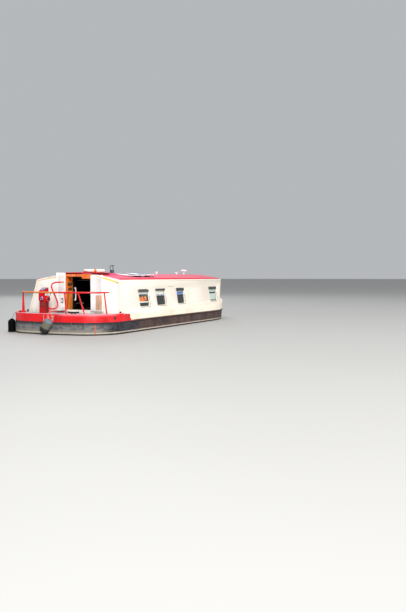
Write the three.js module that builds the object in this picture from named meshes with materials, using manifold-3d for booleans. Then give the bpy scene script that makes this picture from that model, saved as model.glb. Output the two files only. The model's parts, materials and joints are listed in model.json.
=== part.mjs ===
// A wide-beam narrowboat: a steel canal boat with a cruiser stern, a tiller and a long cabin.
//
// Millimetres. X runs forward along the keel line, Y to port and Z up from the underside of the
// base plate. Stations are measured forward from the aftmost point of the stern, and the whole
// boat is moved at the end so that the origin lies on the base plate amidships.

import * as THREE from 'three';
import { mergeVertices } from 'three/addons/utils/BufferGeometryUtils.js';
import Module from 'manifold-3d';

const wasm = await Module();
wasm.setup();

// Driving dimensions

const gap = 0.3; // between pieces that rest on each other
const runningFit = 2; // between a shaft and the wall of its bearing
const midship = 6310; // station of the origin
const draught = 600; // the water lies this high above the base plate's underside

const hull = {
  halfBeam: 2036,
  length: 12620,
  side: 60, // steel, lining and insulation together
  bottom: 60,
  counter: draught - 50, // underside of the counter, just under water
  strake: draught + 408, // where the topside colour meets the black
  deck: draught + 649, // gunwales and stern deck
  sheer: 380, // rise of the gunwale at the stem
  sheerStart: 7000,
  bowStart: 8790,
  sternRadius: 1150,
  sternCentre: 1210,
  transomBow: 60,
  gunwaleInner: 1840,
  toeRail: 45,
  toeRailWidth: 30,
};
const swim = { post: 750, postHalf: 30, end: 3900 };

const cabin = {
  aft: 1350, // station of the aft bulkhead's foot
  fore: 9690, // station of the cabin sides' foot at the bow end
  base: hull.deck,
  halfBase: 1906,
  tumblehome: 0.151,
  aftRake: 0.216, // forward lean of the aft bulkhead per unit of height
  foreRake: 0.473, // forward lean of the sides' bow end
  edge: draught + 1790, // roof edge, upper surface
  crown: draught + 1999,
  halfRoof: 1750,
  wall: 50,
  floor: 400,
  floorAft: 2660,
  frontBulkhead: 9540,
};

const doorway = { port: 275, starboard: -785, sill: hull.deck + 111, head: draught + 1970, aft: 1325, post: 60, behind: 10 };
const hatch = { aft: 1350, opening: 1900, length: 1000, overhang: 82, lidTop: draught + 2052, lid: 36 };
const rearDoor = {
  thick: 35,
  overlap: 8,
  meeting: 10,
  bottom: hull.deck + 96,
  topPort: draught + 2034,
  topStarboard: draught + 1950,
  port: 475, // the port leaf is the narrower one and clears the tiller
  hingeOut: 6,
  restPort: 90, // degrees open at rest
  restStarboard: 165,
};

const windows = {
  bottom: draught + 850,
  top: draught + 1450,
  corner: 60,
  flange: 26,
  proud: 12,
  frame: 16,
  // station of the aft edge, length
  openings: [
    { aft: 2730, length: 710 },
    { aft: 4000, length: 700 },
    { aft: 5680, length: 620 },
    { aft: 8760, length: 760 },
  ],
};

const deckLid = { aft: 480, fore: 1000, starboard: -1450, port: -880, thick: 12, margin: 6, ledge: 20 };
const rudder = { stock: 60, radius: 25, pintle: 20, top: draught + 840, blade: 20, trunk: 55, bore: 30 };
const propeller = { radius: 225, hub: 45, aft: 560, length: 120, height: 300, shaft: 25, washer: 12, boss: 60 };
const rail = { height: draught + 1385, tube: 23 };
const well = { floor: 800, fore: 10900, plate: 40 };

// Hinge lines of the doors, and the places of the knuckles up a leaf

const frontDoor = { half: 430, sill: well.floor + 140, top: draught + 1700, thick: 35 };
const rearHinge = {
  x: doorway.aft - gap - rearDoor.thick - rearDoor.hingeOut,
  port: doorway.port + rearDoor.overlap + rearDoor.hingeOut,
  starboard: doorway.starboard - rearDoor.overlap - rearDoor.hingeOut,
};
const clearWidth = doorway.port - doorway.starboard + 2 * rearDoor.overlap;
const starboardLeaf = clearWidth - rearDoor.meeting - rearDoor.port;
const leafHeight = { port: rearDoor.topPort - rearDoor.bottom, starboard: rearDoor.topStarboard - rearDoor.bottom };
const frontHinge = {
  x: cabin.frontBulkhead + cabin.wall + gap + frontDoor.thick + rearDoor.hingeOut,
  y: frontDoor.half + rearDoor.overlap + rearDoor.hingeOut,
};
const frontWidth = frontDoor.half + rearDoor.overlap - rearDoor.meeting / 2;
const frontHeight = frontDoor.top - frontDoor.sill + 20;
const knuckles = [0.14, 0.5, 0.86];
const knuckleHalf = 35;

// Materials: colour, roughness, metalness

const paint = {
  black: [0x2b2724, 0.7, 0.1],
  cream: [0xf0e6cf, 0.45, 0.0],
  red: [0xc4121c, 0.4, 0.1],
  roofRed: [0xc9566a, 0.6, 0.0],
  deckGrey: [0x8c8a84, 0.8, 0.0],
  steel: [0x9a9a98, 0.4, 0.8],
  bronze: [0xa8763c, 0.4, 0.8],
  oak: [0xd9671f, 0.45, 0.0],
  teak: [0x8a5a34, 0.6, 0.0],
  white: [0xf6f4ee, 0.4, 0.0],
  rubber: [0x1c1c1b, 0.8, 0.0],
  rope: [0x4a4f42, 0.9, 0.0],
  glass: [0x9fb3b0, 0.1, 0.0],
  solar: [0x8f9bb0, 0.2, 0.3],
  engine: [0x3d6b4f, 0.6, 0.3],
};

function material(name) {
  const [color, roughness, metalness] = paint[name];
  return new THREE.MeshStandardMaterial({ color, roughness, metalness, name });
}

// Solids

function solid(geometry) {
  const bare = geometry.clone();
  bare.deleteAttribute('normal');
  bare.deleteAttribute('uv');
  const merged = mergeVertices(bare, 1e-3);
  const triVerts = Uint32Array.from(merged.index.array);
  const vertProperties = Float32Array.from(merged.attributes.position.array);
  return new wasm.Manifold(new wasm.Mesh({ numProp: 3, vertProperties, triVerts }));
}

function geometryOf(body) {
  const { vertProperties, triVerts } = body.getMesh();
  const geometry = new THREE.BufferGeometry();
  geometry.setAttribute('position', new THREE.BufferAttribute(vertProperties, 3));
  geometry.setIndex(new THREE.BufferAttribute(triVerts, 1));
  const flat = geometry.toNonIndexed();
  flat.computeVertexNormals();
  return flat;
}

function union(bodies) {
  return bodies.reduce((sum, body) => sum.add(body));
}

function box(x0, x1, y0, y1, z0, z1) {
  const geometry = new THREE.BoxGeometry(x1 - x0, y1 - y0, z1 - z0);
  return solid(geometry.translate((x0 + x1) / 2, (y0 + y1) / 2, (z0 + z1) / 2));
}

function bar(from, to, radius, sides = 12, radiusTo = radius) {
  const a = new THREE.Vector3(...from);
  const b = new THREE.Vector3(...to);
  const along = b.clone().sub(a);
  const geometry = new THREE.CylinderGeometry(radiusTo, radius, along.length(), sides);
  const turn = new THREE.Quaternion().setFromUnitVectors(new THREE.Vector3(0, 1, 0), along.normalize());
  geometry.applyQuaternion(turn);
  return solid(geometry.translate((a.x + b.x) / 2, (a.y + b.y) / 2, (a.z + b.z) / 2));
}

// A tube along a smooth curve through the points.
function tube(points, radius, steps, sides = 8) {
  const curve = new THREE.CatmullRomCurve3(points.map((p) => new THREE.Vector3(...p)), false, 'centripetal');
  const ring = new THREE.Shape();
  ring.absarc(0, 0, radius, 0, 2 * Math.PI);
  const geometry = new THREE.ExtrudeGeometry(ring, {
    steps,
    curveSegments: sides / 2,
    bevelEnabled: false,
    extrudePath: curve,
  });
  return solid(geometry);
}

function lathe(profile, sides = 24) {
  const geometry = new THREE.LatheGeometry(profile.map(([r, z]) => new THREE.Vector2(r, z)), sides);
  return solid(geometry.rotateX(Math.PI / 2));
}

// A side view in X and Z, made this thick from y0 towards port.
function sideView(shape, y0, y1) {
  const geometry = new THREE.ExtrudeGeometry(shape, { depth: y1 - y0, bevelEnabled: false, curveSegments: 2 });
  geometry.rotateX(Math.PI / 2);
  return solid(geometry.translate(0, y1, 0));
}

// A section in Y and Z, made this long from x0 forward.
function section(shape, x0, x1) {
  const geometry = new THREE.ExtrudeGeometry(shape, { depth: x1 - x0, bevelEnabled: false, curveSegments: 2 });
  const turn = new THREE.Matrix4().makeBasis(
    new THREE.Vector3(0, 1, 0),
    new THREE.Vector3(0, 0, 1),
    new THREE.Vector3(1, 0, 0),
  );
  return solid(geometry.applyMatrix4(turn).translate(x0, 0, 0));
}

function polygon(points) {
  return new THREE.Shape(points.map(([u, v]) => new THREE.Vector2(u, v)));
}

function roundedRectangle(u0, u1, v0, v1, r) {
  const shape = new THREE.Shape();
  shape.moveTo(u0 + r, v0);
  shape.absarc(u1 - r, v0 + r, r, -Math.PI / 2, 0);
  shape.absarc(u1 - r, v1 - r, r, 0, Math.PI / 2);
  shape.absarc(u0 + r, v1 - r, r, Math.PI / 2, Math.PI);
  shape.absarc(u0 + r, v0 + r, r, Math.PI, 1.5 * Math.PI);
  return shape;
}

// Every vertex of a body moved by a rule.
function warp(body, rule) {
  return body.warp((p) => {
    [p[0], p[1], p[2]] = rule(p[0], p[1], p[2]);
  });
}

// Hull form: half outlines in plan, from the centre of the stern to the stem

const bowFractions = [0.08, 0.16, 0.24, 0.32, 0.42, 0.52, 0.62, 0.72, 0.81, 0.89, 0.95];
const bowArc = 4600;

function bowHalf(fraction, halfBeam, fineness) {
  const run = fraction * (hull.length - hull.bowStart);
  const drop = (bowArc - Math.sqrt(bowArc ** 2 - run ** 2)) / hull.halfBeam;
  return halfBeam * Math.max(0, 1 - drop) ** fineness;
}

function bowHalfOutline(stem, inset, fineness) {
  const tip = stem - 1.7 * inset;
  return bowFractions.map((f) => [hull.bowStart + f * (tip - hull.bowStart), bowHalf(f, hull.halfBeam - inset, fineness)])
    .concat([[tip, 0]]);
}

const cornerStep = 11.25; // degrees of the rounded stern corners
const sideStations = [2700, 4100, 5500, hull.sheerStart, 7600, 8200, hull.bowStart];

function upperOutline(stem, inset, fineness = 1) {
  const centreY = hull.halfBeam - hull.sternRadius;
  const radius = hull.sternRadius - inset;
  const transom = [0, 0.5].map((f) => [inset + hull.transomBow * f ** 2, centreY * f]);
  const corner = [];
  for (let degrees = 0; degrees <= 90; degrees += cornerStep) {
    const a = THREE.MathUtils.degToRad(degrees);
    corner.push([hull.sternCentre - radius * Math.cos(a), centreY + radius * Math.sin(a)]);
  }
  const side = sideStations.map((x) => [x, hull.halfBeam - inset]);
  return [...transom, ...corner, ...side, ...bowHalfOutline(stem, inset, fineness)];
}

function swimHalf(x) {
  const t = Math.min(1, Math.max(0, (x - swim.post) / (swim.end - swim.post)));
  return swim.postHalf + (hull.halfBeam - swim.postHalf) * (0.5 - 0.5 * Math.cos(Math.PI * t));
}

function lowerOutline(stem, start, inset, fineness) {
  const run = [0, 0.12, 0.25, 0.38, 0.5, 0.62, 0.75, 0.88, 1].map((f) => start + f * (swim.end - start));
  const aft = run.map((x) => [x, swimHalf(x) - inset]);
  const side = sideStations.filter((x) => x > swim.end).map((x) => [x, hull.halfBeam - inset]);
  return [[start, 0], ...aft, ...side, ...bowHalfOutline(stem, inset, fineness)];
}

// A body between levels. Each level is a half outline with a height, or a rule for one.
function planLoft(levels) {
  const position = [];
  const index = [];
  const rows = levels.map(({ outline, z }) => {
    const heights = typeof z === 'function' ? z : () => z;
    const port = [];
    const starboard = [];
    for (const [x, y] of outline) {
      port.push(position.length / 3);
      position.push(x, y, heights(x));
      starboard.push(y === 0 ? port.at(-1) : position.length / 3);
      if (y !== 0) position.push(x, -y, heights(x));
    }
    return { port, starboard };
  });
  const quad = (a, b, c, d) => {
    if (a !== b && b !== c && a !== c) index.push(a, b, c);
    if (a !== c && c !== d && a !== d) index.push(a, c, d);
  };
  const last = levels[0].outline.length - 1;
  for (let i = 0; i < last; i += 1) {
    for (let k = 0; k < rows.length - 1; k += 1) {
      const [low, high] = [rows[k], rows[k + 1]];
      quad(low.starboard[i], low.starboard[i + 1], high.starboard[i + 1], high.starboard[i]);
      quad(low.port[i + 1], low.port[i], high.port[i], high.port[i + 1]);
    }
    const bottom = rows[0];
    const top = rows.at(-1);
    quad(bottom.port[i], bottom.port[i + 1], bottom.starboard[i + 1], bottom.starboard[i]);
    quad(top.starboard[i], top.starboard[i + 1], top.port[i + 1], top.port[i]);
  }
  const geometry = new THREE.BufferGeometry();
  geometry.setAttribute('position', new THREE.Float32BufferAttribute(position, 3));
  geometry.setIndex(index);
  return solid(geometry);
}

const topOutline = upperOutline(hull.length, 0);

function sheerCurve(x) {
  const t = Math.max(0, (x - hull.sheerStart) / (hull.length - hull.sheerStart));
  return hull.deck + hull.sheer * t ** 2;
}

// Height of a plate whose edge follows the sheer, straight between the stations of its outline.
function plateHeight(outline, x) {
  const i = Math.max(1, outline.findIndex(([station]) => station >= x));
  const [[x0], [x1]] = [outline[i - 1], outline[i]];
  const t = x1 === x0 ? 0 : (x - x0) / (x1 - x0);
  return THREE.MathUtils.lerp(sheerCurve(x0), sheerCurve(x1), t);
}

const gunwale = (x) => plateHeight(topOutline, x);

// Cabin form

const sideOuter = (z) => cabin.halfBase - cabin.tumblehome * (z - cabin.base);
const aftFace = (z) => cabin.aft + cabin.aftRake * (z - cabin.base);
const foreFace = (z) => cabin.fore + cabin.foreRake * (z - cabin.base);

const camberSteps = 16;

// Upper surface of the roof, straight between the steps of its camber.
function roofTop(y) {
  const step = (2 * cabin.halfRoof) / camberSteps;
  const strip = Math.floor(Math.abs(y) / step);
  const [inner, outer] = [strip, strip + 1].map((i) =>
    cabin.crown - (cabin.crown - cabin.edge) * ((i * step) / cabin.halfRoof) ** 2);
  return THREE.MathUtils.lerp(inner, outer, Math.abs(y) / step - strip);
}
const roofUnder = (y) => roofTop(y) - cabin.wall;

function camber(half, height) {
  const points = [];
  for (let i = 0; i <= camberSteps; i += 1) {
    const y = -half + (2 * half * i) / camberSteps;
    points.push([y, height(y)]);
  }
  return points;
}

// Hull pieces

function hullShell() {
  const under = hull.counter;
  const upper = planLoft([
    { outline: upperOutline(12420, 0, 1.12), z: under },
    { outline: upperOutline(12540, 0, 1.04), z: hull.strake },
    { outline: topOutline, z: sheerCurve },
  ]);
  const lower = planLoft([
    { outline: lowerOutline(12080, swim.post, 0, 1.4), z: 0 },
    { outline: lowerOutline(12420, swim.post, 0, 1.12), z: under + 1 },
  ]);
  const above = hull.deck + hull.sheer + 200;
  const deckUnder = hull.deck - 40;
  const belowGunwale = planLoft([
    { outline: upperOutline(12420, hull.side + 30, 1.12), z: under + hull.bottom },
    { outline: upperOutline(12420, hull.side + 30, 1.12), z: deckUnder - 20 },
  ]);
  const between = planLoft([
    { outline: upperOutline(12540, hull.halfBeam - hull.gunwaleInner), z: deckUnder - 21 },
    { outline: upperOutline(12540, hull.halfBeam - hull.gunwaleInner), z: above },
  ]);
  const deckPocket = planLoft([
    { outline: upperOutline(12420, hull.side), z: deckUnder - gap },
    { outline: upperOutline(12420, hull.side), z: above },
  ]).intersect(box(0, cabin.aft + 60, -3000, 3000, 0, 3000));
  const bilge = planLoft([
    { outline: lowerOutline(12080, 1500, 2 * hull.side, 1.4), z: hull.bottom },
    { outline: lowerOutline(12420, 1500, 2 * hull.side, 1.12), z: under + hull.bottom + 1 },
  ]);
  const toeRail = planLoft([
    { outline: topOutline, z: hull.deck - 5 },
    { outline: topOutline, z: hull.deck + hull.toeRail },
  ]).subtract(planLoft([
    { outline: upperOutline(hull.length, hull.toeRailWidth), z: hull.deck - 10 },
    { outline: upperOutline(hull.length, hull.toeRailWidth), z: hull.deck + 200 },
  ])).intersect(box(-10, cabin.aft, -3000, 3000, 0, 3000));
  const skeg = box(15, 900, -30, 30, 0, 25);
  const cup = bar([rudder.stock, 0, 20], [rudder.stock, 0, 110], 45, 16);
  const cupBore = bar([rudder.stock, 0, 40], [rudder.stock, 0, 120], rudder.pintle + runningFit, 16);
  const trunk = bar([rudder.stock, 0, under], [rudder.stock, 0, hull.deck + 12], rudder.trunk, 20);
  const trunkBore = bar([rudder.stock, 0, under - 10], [rudder.stock, 0, hull.deck + 20], rudder.bore, 20);
  const tubeEnd = propeller.aft + propeller.length + propeller.washer;
  const boss = bar([tubeEnd, 0, propeller.height], [tubeEnd + 130, 0, propeller.height], propeller.boss, 16);
  const bossBore = bar(
    [tubeEnd - 10, 0, propeller.height],
    [tubeEnd + 60, 0, propeller.height],
    propeller.shaft + runningFit,
    16,
  );
  return upper.add(lower)
    .subtract(belowGunwale).subtract(between).subtract(deckPocket).subtract(bilge)
    .add(toeRail).add(skeg).add(cup).add(trunk).add(boss)
    .subtract(cupBore).subtract(trunkBore).subtract(bossBore);
}

function rubbingStrake(sign) {
  const outer = planLoft([
    { outline: upperOutline(12552, -20, 1.04), z: hull.strake - 18 },
    { outline: upperOutline(12552, -20, 1.04), z: hull.strake + 18 },
  ]);
  const inner = planLoft([
    { outline: upperOutline(12541 + gap, -gap - 0.7, 1.0), z: hull.strake - 40 },
    { outline: upperOutline(12541 + gap, -gap - 0.7, 1.0), z: hull.strake + 40 },
  ]);
  const y = sign > 0 ? [40, 3000] : [-3000, -40];
  return outer.subtract(inner).intersect(box(1900, 12300, ...y, 0, 3000));
}

function sternDeck() {
  const plate = planLoft([
    { outline: upperOutline(12000, hull.side + gap), z: hull.deck - 40 },
    { outline: upperOutline(12000, hull.side + gap), z: hull.deck },
  ]).intersect(box(0, cabin.aft + 50, -3000, 3000, 0, 3000));
  const round = bar([rudder.stock, 0, 0], [rudder.stock, 0, 2000], rudder.trunk + gap, 20);
  const { aft, fore, starboard, port, thick, margin, ledge } = deckLid;
  const rebate = box(aft - margin, fore + margin, starboard - margin, port + margin, hull.deck - thick - gap, 2000);
  const opening = box(aft + ledge, fore - ledge, starboard + ledge, port - ledge, 0, 2000);
  return plate.subtract(round).subtract(rebate).subtract(opening);
}

function deckHatchLid() {
  const { aft, fore, starboard, port, thick } = deckLid;
  const plate = box(aft, fore, starboard, port, hull.deck - thick, hull.deck);
  const pin = { height: hull.deck + 8.5, radius: 8, half: 40, strap: 50 };
  const hinges = [0.15, 0.85].flatMap((f) => {
    const x = THREE.MathUtils.lerp(aft, fore, f);
    return [
      bar([x - pin.half, starboard, pin.height], [x + pin.half, starboard, pin.height], pin.radius, 10),
      box(x - pin.half, x + pin.half, starboard, starboard + pin.strap, hull.deck - 3, pin.height),
    ];
  });
  return union([plate, ...hinges]);
}

// Stern gear

const railPoints = [
  // station, y
  [920, 1800],
  [450, 1400],
  [200, 960],
  [140, 0],
  [220, -1000],
  [480, -1510],
  [700, -1700],
  [895, -1740],
];
const railPosts = [
  { foot: [950, 1850], top: [920, 1800] },
  { foot: [680, 1560], top: [610, 1545] },
  { foot: [190, -560], top: [165, -520] },
  { foot: [300, -1210], top: [222, -1000] },
  { foot: [764, -1750], top: [700, -1700] },
];

function sternRail() {
  const top = tube(railPoints.map(([x, y]) => [x, y, rail.height]), rail.tube, 32);
  const posts = railPosts.flatMap(({ foot, top: head }) => [
    bar([...foot, hull.deck + 8], [...head, rail.height], rail.tube * 0.9, 8),
    bar([...foot, hull.deck + gap], [...foot, hull.deck + 10], 48, 12),
  ]);
  return union([top, ...posts]);
}

const pedestal = { aft: 750, fore: 1000, starboard: 760, port: 1000, top: draught + 1530 };
const control = { station: 922, height: draught + 1130, radius: 104, depth: 50 };

function controlPedestal() {
  const body = polygon([
    [pedestal.aft + 40, hull.deck + gap],
    [pedestal.fore, hull.deck + gap],
    [pedestal.fore, pedestal.top],
    [pedestal.aft + 20, pedestal.top - 110],
    [pedestal.aft, pedestal.top - 150],
    [pedestal.aft, pedestal.top - 420],
    [pedestal.aft + 40, pedestal.top - 500],
  ]);
  return sideView(body, pedestal.starboard, pedestal.port);
}

// The engine control on the pedestal's starboard face: a ringed head and its lever.
function engineControl() {
  const y = pedestal.starboard - gap;
  const { station: x, height: z, radius, depth } = control;
  const head = bar([x, y, z], [x, y - depth, z], radius, 20);
  const dish = bar([x, y - depth + 18, z], [x, y - depth - 10, z], radius - 24, 20);
  const boss = bar([x, y - depth + 25, z], [x, y - depth - 15, z], 24, 12);
  const lever = bar([x, y - depth - 8, z], [x - 70, y - depth - 14, z + 190], 9, 8);
  const knob = solid(new THREE.SphereGeometry(20, 10, 8).translate(x - 70, y - depth - 14, z + 195));
  return union([head.subtract(dish), boss, lever, knob]);
}

function rudderAssembly() {
  const x = rudder.stock;
  const blade = polygon([
    [x - 300, 190],
    [x - 240, 130],
    [x + 170, 130],
    [x + 200, 160],
    [x + 200, hull.counter - 40],
    [x - 300, hull.counter - 40],
  ]);
  const plate = sideView(blade, -rudder.blade / 2, rudder.blade / 2);
  const stock = bar([x, 0, 112], [x, 0, rudder.top], rudder.radius, 16);
  const pintle = bar([x, 0, 40 + gap], [x, 0, 120], rudder.pintle, 16);
  return union([plate, stock, pintle]);
}

// Side view of the swan neck: station and height above the water.
const swanNeck = [
  [60, 842],
  [170, 838],
  [330, 848],
  [455, 900],
  [490, 990],
  [440, 1120],
  [330, 1290],
  [225, 1440],
  [165, 1560],
  [195, 1655],
  [310, 1698],
  [470, 1715],
  [640, 1716],
];
const grip = { to: 815, height: 1716 };
const tillerTube = 23;

function tiller() {
  const path = swanNeck.map(([x, z]) => [x, 0, draught + z]);
  const neck = tube(path, tillerTube, 28);
  const collar = bar([rudder.stock, 0, rudder.top + gap], [rudder.stock, 0, rudder.top + 60], 38, 16);
  return union([collar, neck.trimByPlane([0, 0, 1], rudder.top + gap)]);
}

function tillerGrip() {
  const z = draught + grip.height;
  const start = swanNeck.at(-1)[0] + 2 * gap;
  const wood = bar([start, 0, z], [grip.to - 24, 0, z], 18, 12, 24);
  const ball = solid(new THREE.SphereGeometry(24, 12, 8).translate(grip.to - 24, 0, z));
  return union([wood, ball]);
}

function screw() {
  const { hub, aft, length, height, shaft, washer, radius } = propeller;
  const centre = aft + length / 2;
  const core = bar([aft, 0, height], [aft + length, 0, height], hub, 20, hub);
  const cone = bar([aft - 45, 0, height], [aft, 0, height], 14, 20, hub);
  const stub = bar([aft + length, 0, height], [aft + length + 60, 0, height], shaft, 16);
  const thrust = bar([aft + length - 1, 0, height], [aft + length + washer - gap, 0, height], shaft + washer, 20);
  const blades = [0, 1, 2].map((i) => {
    const outline = new THREE.Shape();
    outline.absellipse(0, radius - 100, 88, 100, 0, 2 * Math.PI);
    const plate = new THREE.ExtrudeGeometry(outline, { depth: 12, bevelEnabled: false, curveSegments: 9 });
    plate.translate(0, 0, -6);
    plate.rotateY(THREE.MathUtils.degToRad(58));
    plate.rotateX(THREE.MathUtils.degToRad(90 + 120 * i));
    return solid(plate.translate(centre, 0, height));
  });
  return union([core, cone, stub, thrust, ...blades]);
}

// Stern fender: a leaning rope barrel on two short chains.
const barrel = { y: 15, height: draught + 288, radius: 150, half: 225, shoulder: 70, lean: 33, bite: 30 };
const barrelChains = [
  // y at the deck edge, y at the barrel, height above the water there
  [205, 110, 412],
  [-221, -160, 418],
];

function sternFender() {
  const { y, height, radius, half, shoulder, lean, bite } = barrel;
  const x = bite - radius;
  const body = lathe([
    [0, -half],
    [radius * 0.6, -half],
    [radius, shoulder - half],
    [radius, half - shoulder],
    [radius * 0.6, half],
    [0, half],
  ], 18).rotate([lean, 0, 0]).translate(x, y, height);
  const chains = barrelChains.map(([top, foot, z]) =>
    bar([-14, top, hull.deck - 6], [x, foot, draught + z], 9, 8));
  const clear = planLoft([
    { outline: upperOutline(12000, -gap), z: 0 },
    { outline: upperOutline(12000, -gap), z: 3000 },
  ]);
  return union([body, ...chains]).subtract(clear);
}

const quarter = { angle: 4.5 * cornerStep, radius: 130, low: draught - 210, high: draught + 450 };

// The quarter fender hangs against the middle of one flat of the rounded corner.
function quarterFender() {
  const a = THREE.MathUtils.degToRad(quarter.angle);
  const flat = hull.sternRadius * Math.cos(THREE.MathUtils.degToRad(cornerStep / 2));
  const reach = flat + quarter.radius + gap;
  const x = hull.sternCentre - reach * Math.cos(a);
  const y = hull.halfBeam - hull.sternRadius + reach * Math.sin(a);
  const r = quarter.radius;
  const body = lathe([
    [0, quarter.low],
    [r * 0.55, quarter.low],
    [r, quarter.low + 90],
    [r, quarter.high - 90],
    [r * 0.45, quarter.high],
    [0, quarter.high],
  ], 16).rotate([0, 0, -quarter.angle]).translate(x, y, 0);
  const inward = [-Math.cos(a), Math.sin(a)].map((c) => c * (gap + 12 - quarter.radius));
  const eye = [x + inward[0], y + inward[1]];
  const lanyard = bar([x, y, quarter.high - 20], [...eye, hull.deck + hull.toeRail - 6], 9, 8);
  return union([body, lanyard]);
}

function mooringDolly(x, y, z) {
  return lathe([[0, z], [62, z], [62, z + 10], [34, z + 16], [30, z + 70], [52, z + 84], [52, z + 96], [0, z + 96]], 16)
    .translate(x, y, 0);
}

function mooringCleat(x, y, z) {
  const plate = box(x - 40, x + 40, y - 110, y + 110, z, z + 8);
  const legs = [-55, 55].map((d) => bar([x, y + d, z + 4], [x, y + d, z + 60], 15, 10));
  const horn = tube([[x, y - 225, z + 76], [x, y - 120, z + 60], [x, y + 120, z + 60], [x, y + 225, z + 76]], 15, 10);
  return union([plate, ...legs, horn]);
}

// Cabin pieces

function cabinSide(sign) {
  const bottom = cabin.base;
  const top = cabin.edge - cabin.wall - gap;
  const foot = (x) => gunwale(x) + gap;
  const stations = topOutline.map(([x]) => x).filter((x) => x > cabin.aft && x < cabin.fore + 30);
  const foreFoot = cabin.fore + 30;
  const outline = [
    [cabin.aft, bottom + gap],
    ...stations.map((x) => [x, foot(x)]),
    [foreFoot, foot(foreFoot)],
    [foreFace(top - 90), top - 90],
    [foreFace(top) - 12, top - 25],
    [foreFace(top) - 40, top],
    [aftFace(top), top],
  ];
  const plate = polygon(outline);
  for (const { aft, length } of windows.openings) {
    plate.holes.push(roundedRectangle(aft, aft + length, windows.bottom, windows.top, windows.corner));
  }
  const flat = sideView(plate, 0, cabin.wall);
  return lean(flat, sign, cabin.wall);
}

// A flat side view, its outer face at y = depth, put on the leaning cabin side.
function lean(flat, sign, depth) {
  return sign > 0
    ? warp(flat, (x, y, z) => [x, y - depth + sideOuter(z), z])
    : warp(flat, (x, y, z) => [x, y - sideOuter(z), z]);
}

function cabinWindow(sign, { aft, length }) {
  const fore = aft + length;
  const { bottom, top, corner, flange, proud, frame } = windows;
  const depth = cabin.wall;
  const seat = sign > 0 ? [depth + gap, depth + gap + proud] : [-gap - proud, -gap];
  const ringOutline = roundedRectangle(aft - flange, fore + flange, bottom - flange, top + flange, corner + flange);
  ringOutline.holes.push(roundedRectangle(aft + frame, fore - frame, bottom + frame, top - frame, corner - frame));
  const ring = sideView(ringOutline, ...seat);
  const sleeveOutline = roundedRectangle(aft + gap, fore - gap, bottom + gap, top - gap, corner);
  sleeveOutline.holes.push(roundedRectangle(aft + frame, fore - frame, bottom + frame, top - frame, corner - frame));
  const sleeve = sideView(sleeveOutline, sign > 0 ? 10 : -gap - 1, sign > 0 ? depth + gap + 1 : depth - 10);
  const pane = sideView(
    roundedRectangle(aft + frame - 2, fore - frame + 2, bottom + frame - 2, top - frame + 2, corner - frame),
    depth / 2 - 4,
    depth / 2 + 4,
  );
  const barAt = bottom + 0.6 * (top - bottom);
  const barY = sign > 0 ? [depth / 2, depth + proud] : [-proud, depth / 2];
  const midBar = sideView(polygon([[aft + 8, barAt - 14], [fore - 8, barAt - 14], [fore - 8, barAt + 14], [aft + 8, barAt + 14]]), ...barY);
  return lean(union([ring, sleeve, pane, midBar]), sign, depth);
}

// Hinge lugs on a bulkhead's face, one under each knuckle of a door and just outside its leaf.
function hingeLugs(face, pinX, pinY, side, bottom, height) {
  const reach = pinX < face ? [pinX - 4, face + 1] : [face - 1, pinX + 4];
  const [y0, y1] = [pinY - side * 3.5, pinY + side * 8].sort((a, b) => a - b);
  return union(knuckles.map((f) => {
    const top = bottom + f * height - knuckleHalf - gap;
    return box(...reach, y0, y1, top - 20, top);
  }));
}

function sectionInside(z0, under) {
  const half = (z) => sideOuter(z) - cabin.wall - gap;
  const shoulder = cabin.edge - cabin.wall;
  return polygon([
    [-half(z0), z0],
    [half(z0), z0],
    [half(shoulder), shoulder],
    ...camber(half(shoulder), under).reverse(),
    [-half(shoulder), shoulder],
  ]);
}

function aftBulkhead() {
  const under = (y) => roofUnder(y) - gap - 0.6;
  const plate = warp(section(sectionInside(hull.deck + gap, under), 0, cabin.wall),
    (x, y, z) => [x + aftFace(z) + 0.5, y, z]);
  const { port, starboard, sill, head, aft, post } = doorway;
  const frame = box(aft, 2200, starboard - post, port + post, hull.deck + gap, head);
  const behind = polygon([
    [aftFace(0) + doorway.behind, 0],
    [5000, 0],
    [5000, 4000],
    [aftFace(4000) + doorway.behind, 4000],
  ]);
  const surround = frame.subtract(sideView(behind, -3000, 3000)).subtract(roofPlate(1));
  const opening = box(0, 4000, starboard, port, sill, 4000);
  const lugs = [['port', 1], ['starboard', -1]].map(([name, side]) =>
    hingeLugs(aft, rearHinge.x, rearHinge[name], side, rearDoor.bottom, leafHeight[name]));
  return union([plate, surround, ...lugs]).subtract(opening);
}

function frontBulkhead() {
  const under = (y) => roofUnder(y) - gap - 0.6;
  const x = cabin.frontBulkhead;
  const above = section(sectionInside(gunwale(x) + 10, under), x, x + cabin.wall);
  const half = hull.gunwaleInner - 90;
  const below = box(x, x + cabin.wall, -half, half, cabin.floor + gap, gunwale(x) + 11);
  const opening = box(x - 10, x + 100, -frontDoor.half, frontDoor.half, frontDoor.sill, frontDoor.top);
  const lugs = [1, -1].map((side) =>
    hingeLugs(x + cabin.wall, frontHinge.x, side * frontHinge.y, side, frontDoor.sill - 10, frontHeight));
  return union([above, below, ...lugs]).subtract(opening);
}

// The cambered plate of the roof, grown by a clearance where it is used as a cutter.
function roofPlate(clearance) {
  const top = camber(cabin.halfRoof + clearance, (y) => roofTop(y) + clearance);
  const under = camber(cabin.halfRoof + clearance, (y) => roofUnder(y) - clearance);
  return warp(section(polygon([...under, ...top.reverse()]), 0, 1),
    (x, y, z) => [x < 0.5 ? aftFace(z) - clearance : foreFace(z) - 40 + clearance, y, z]);
}

function cabinRoof() {
  return roofPlate(0).subtract(box(0, hatch.opening, doorway.starboard, doorway.port, 0, 4000));
}

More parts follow.
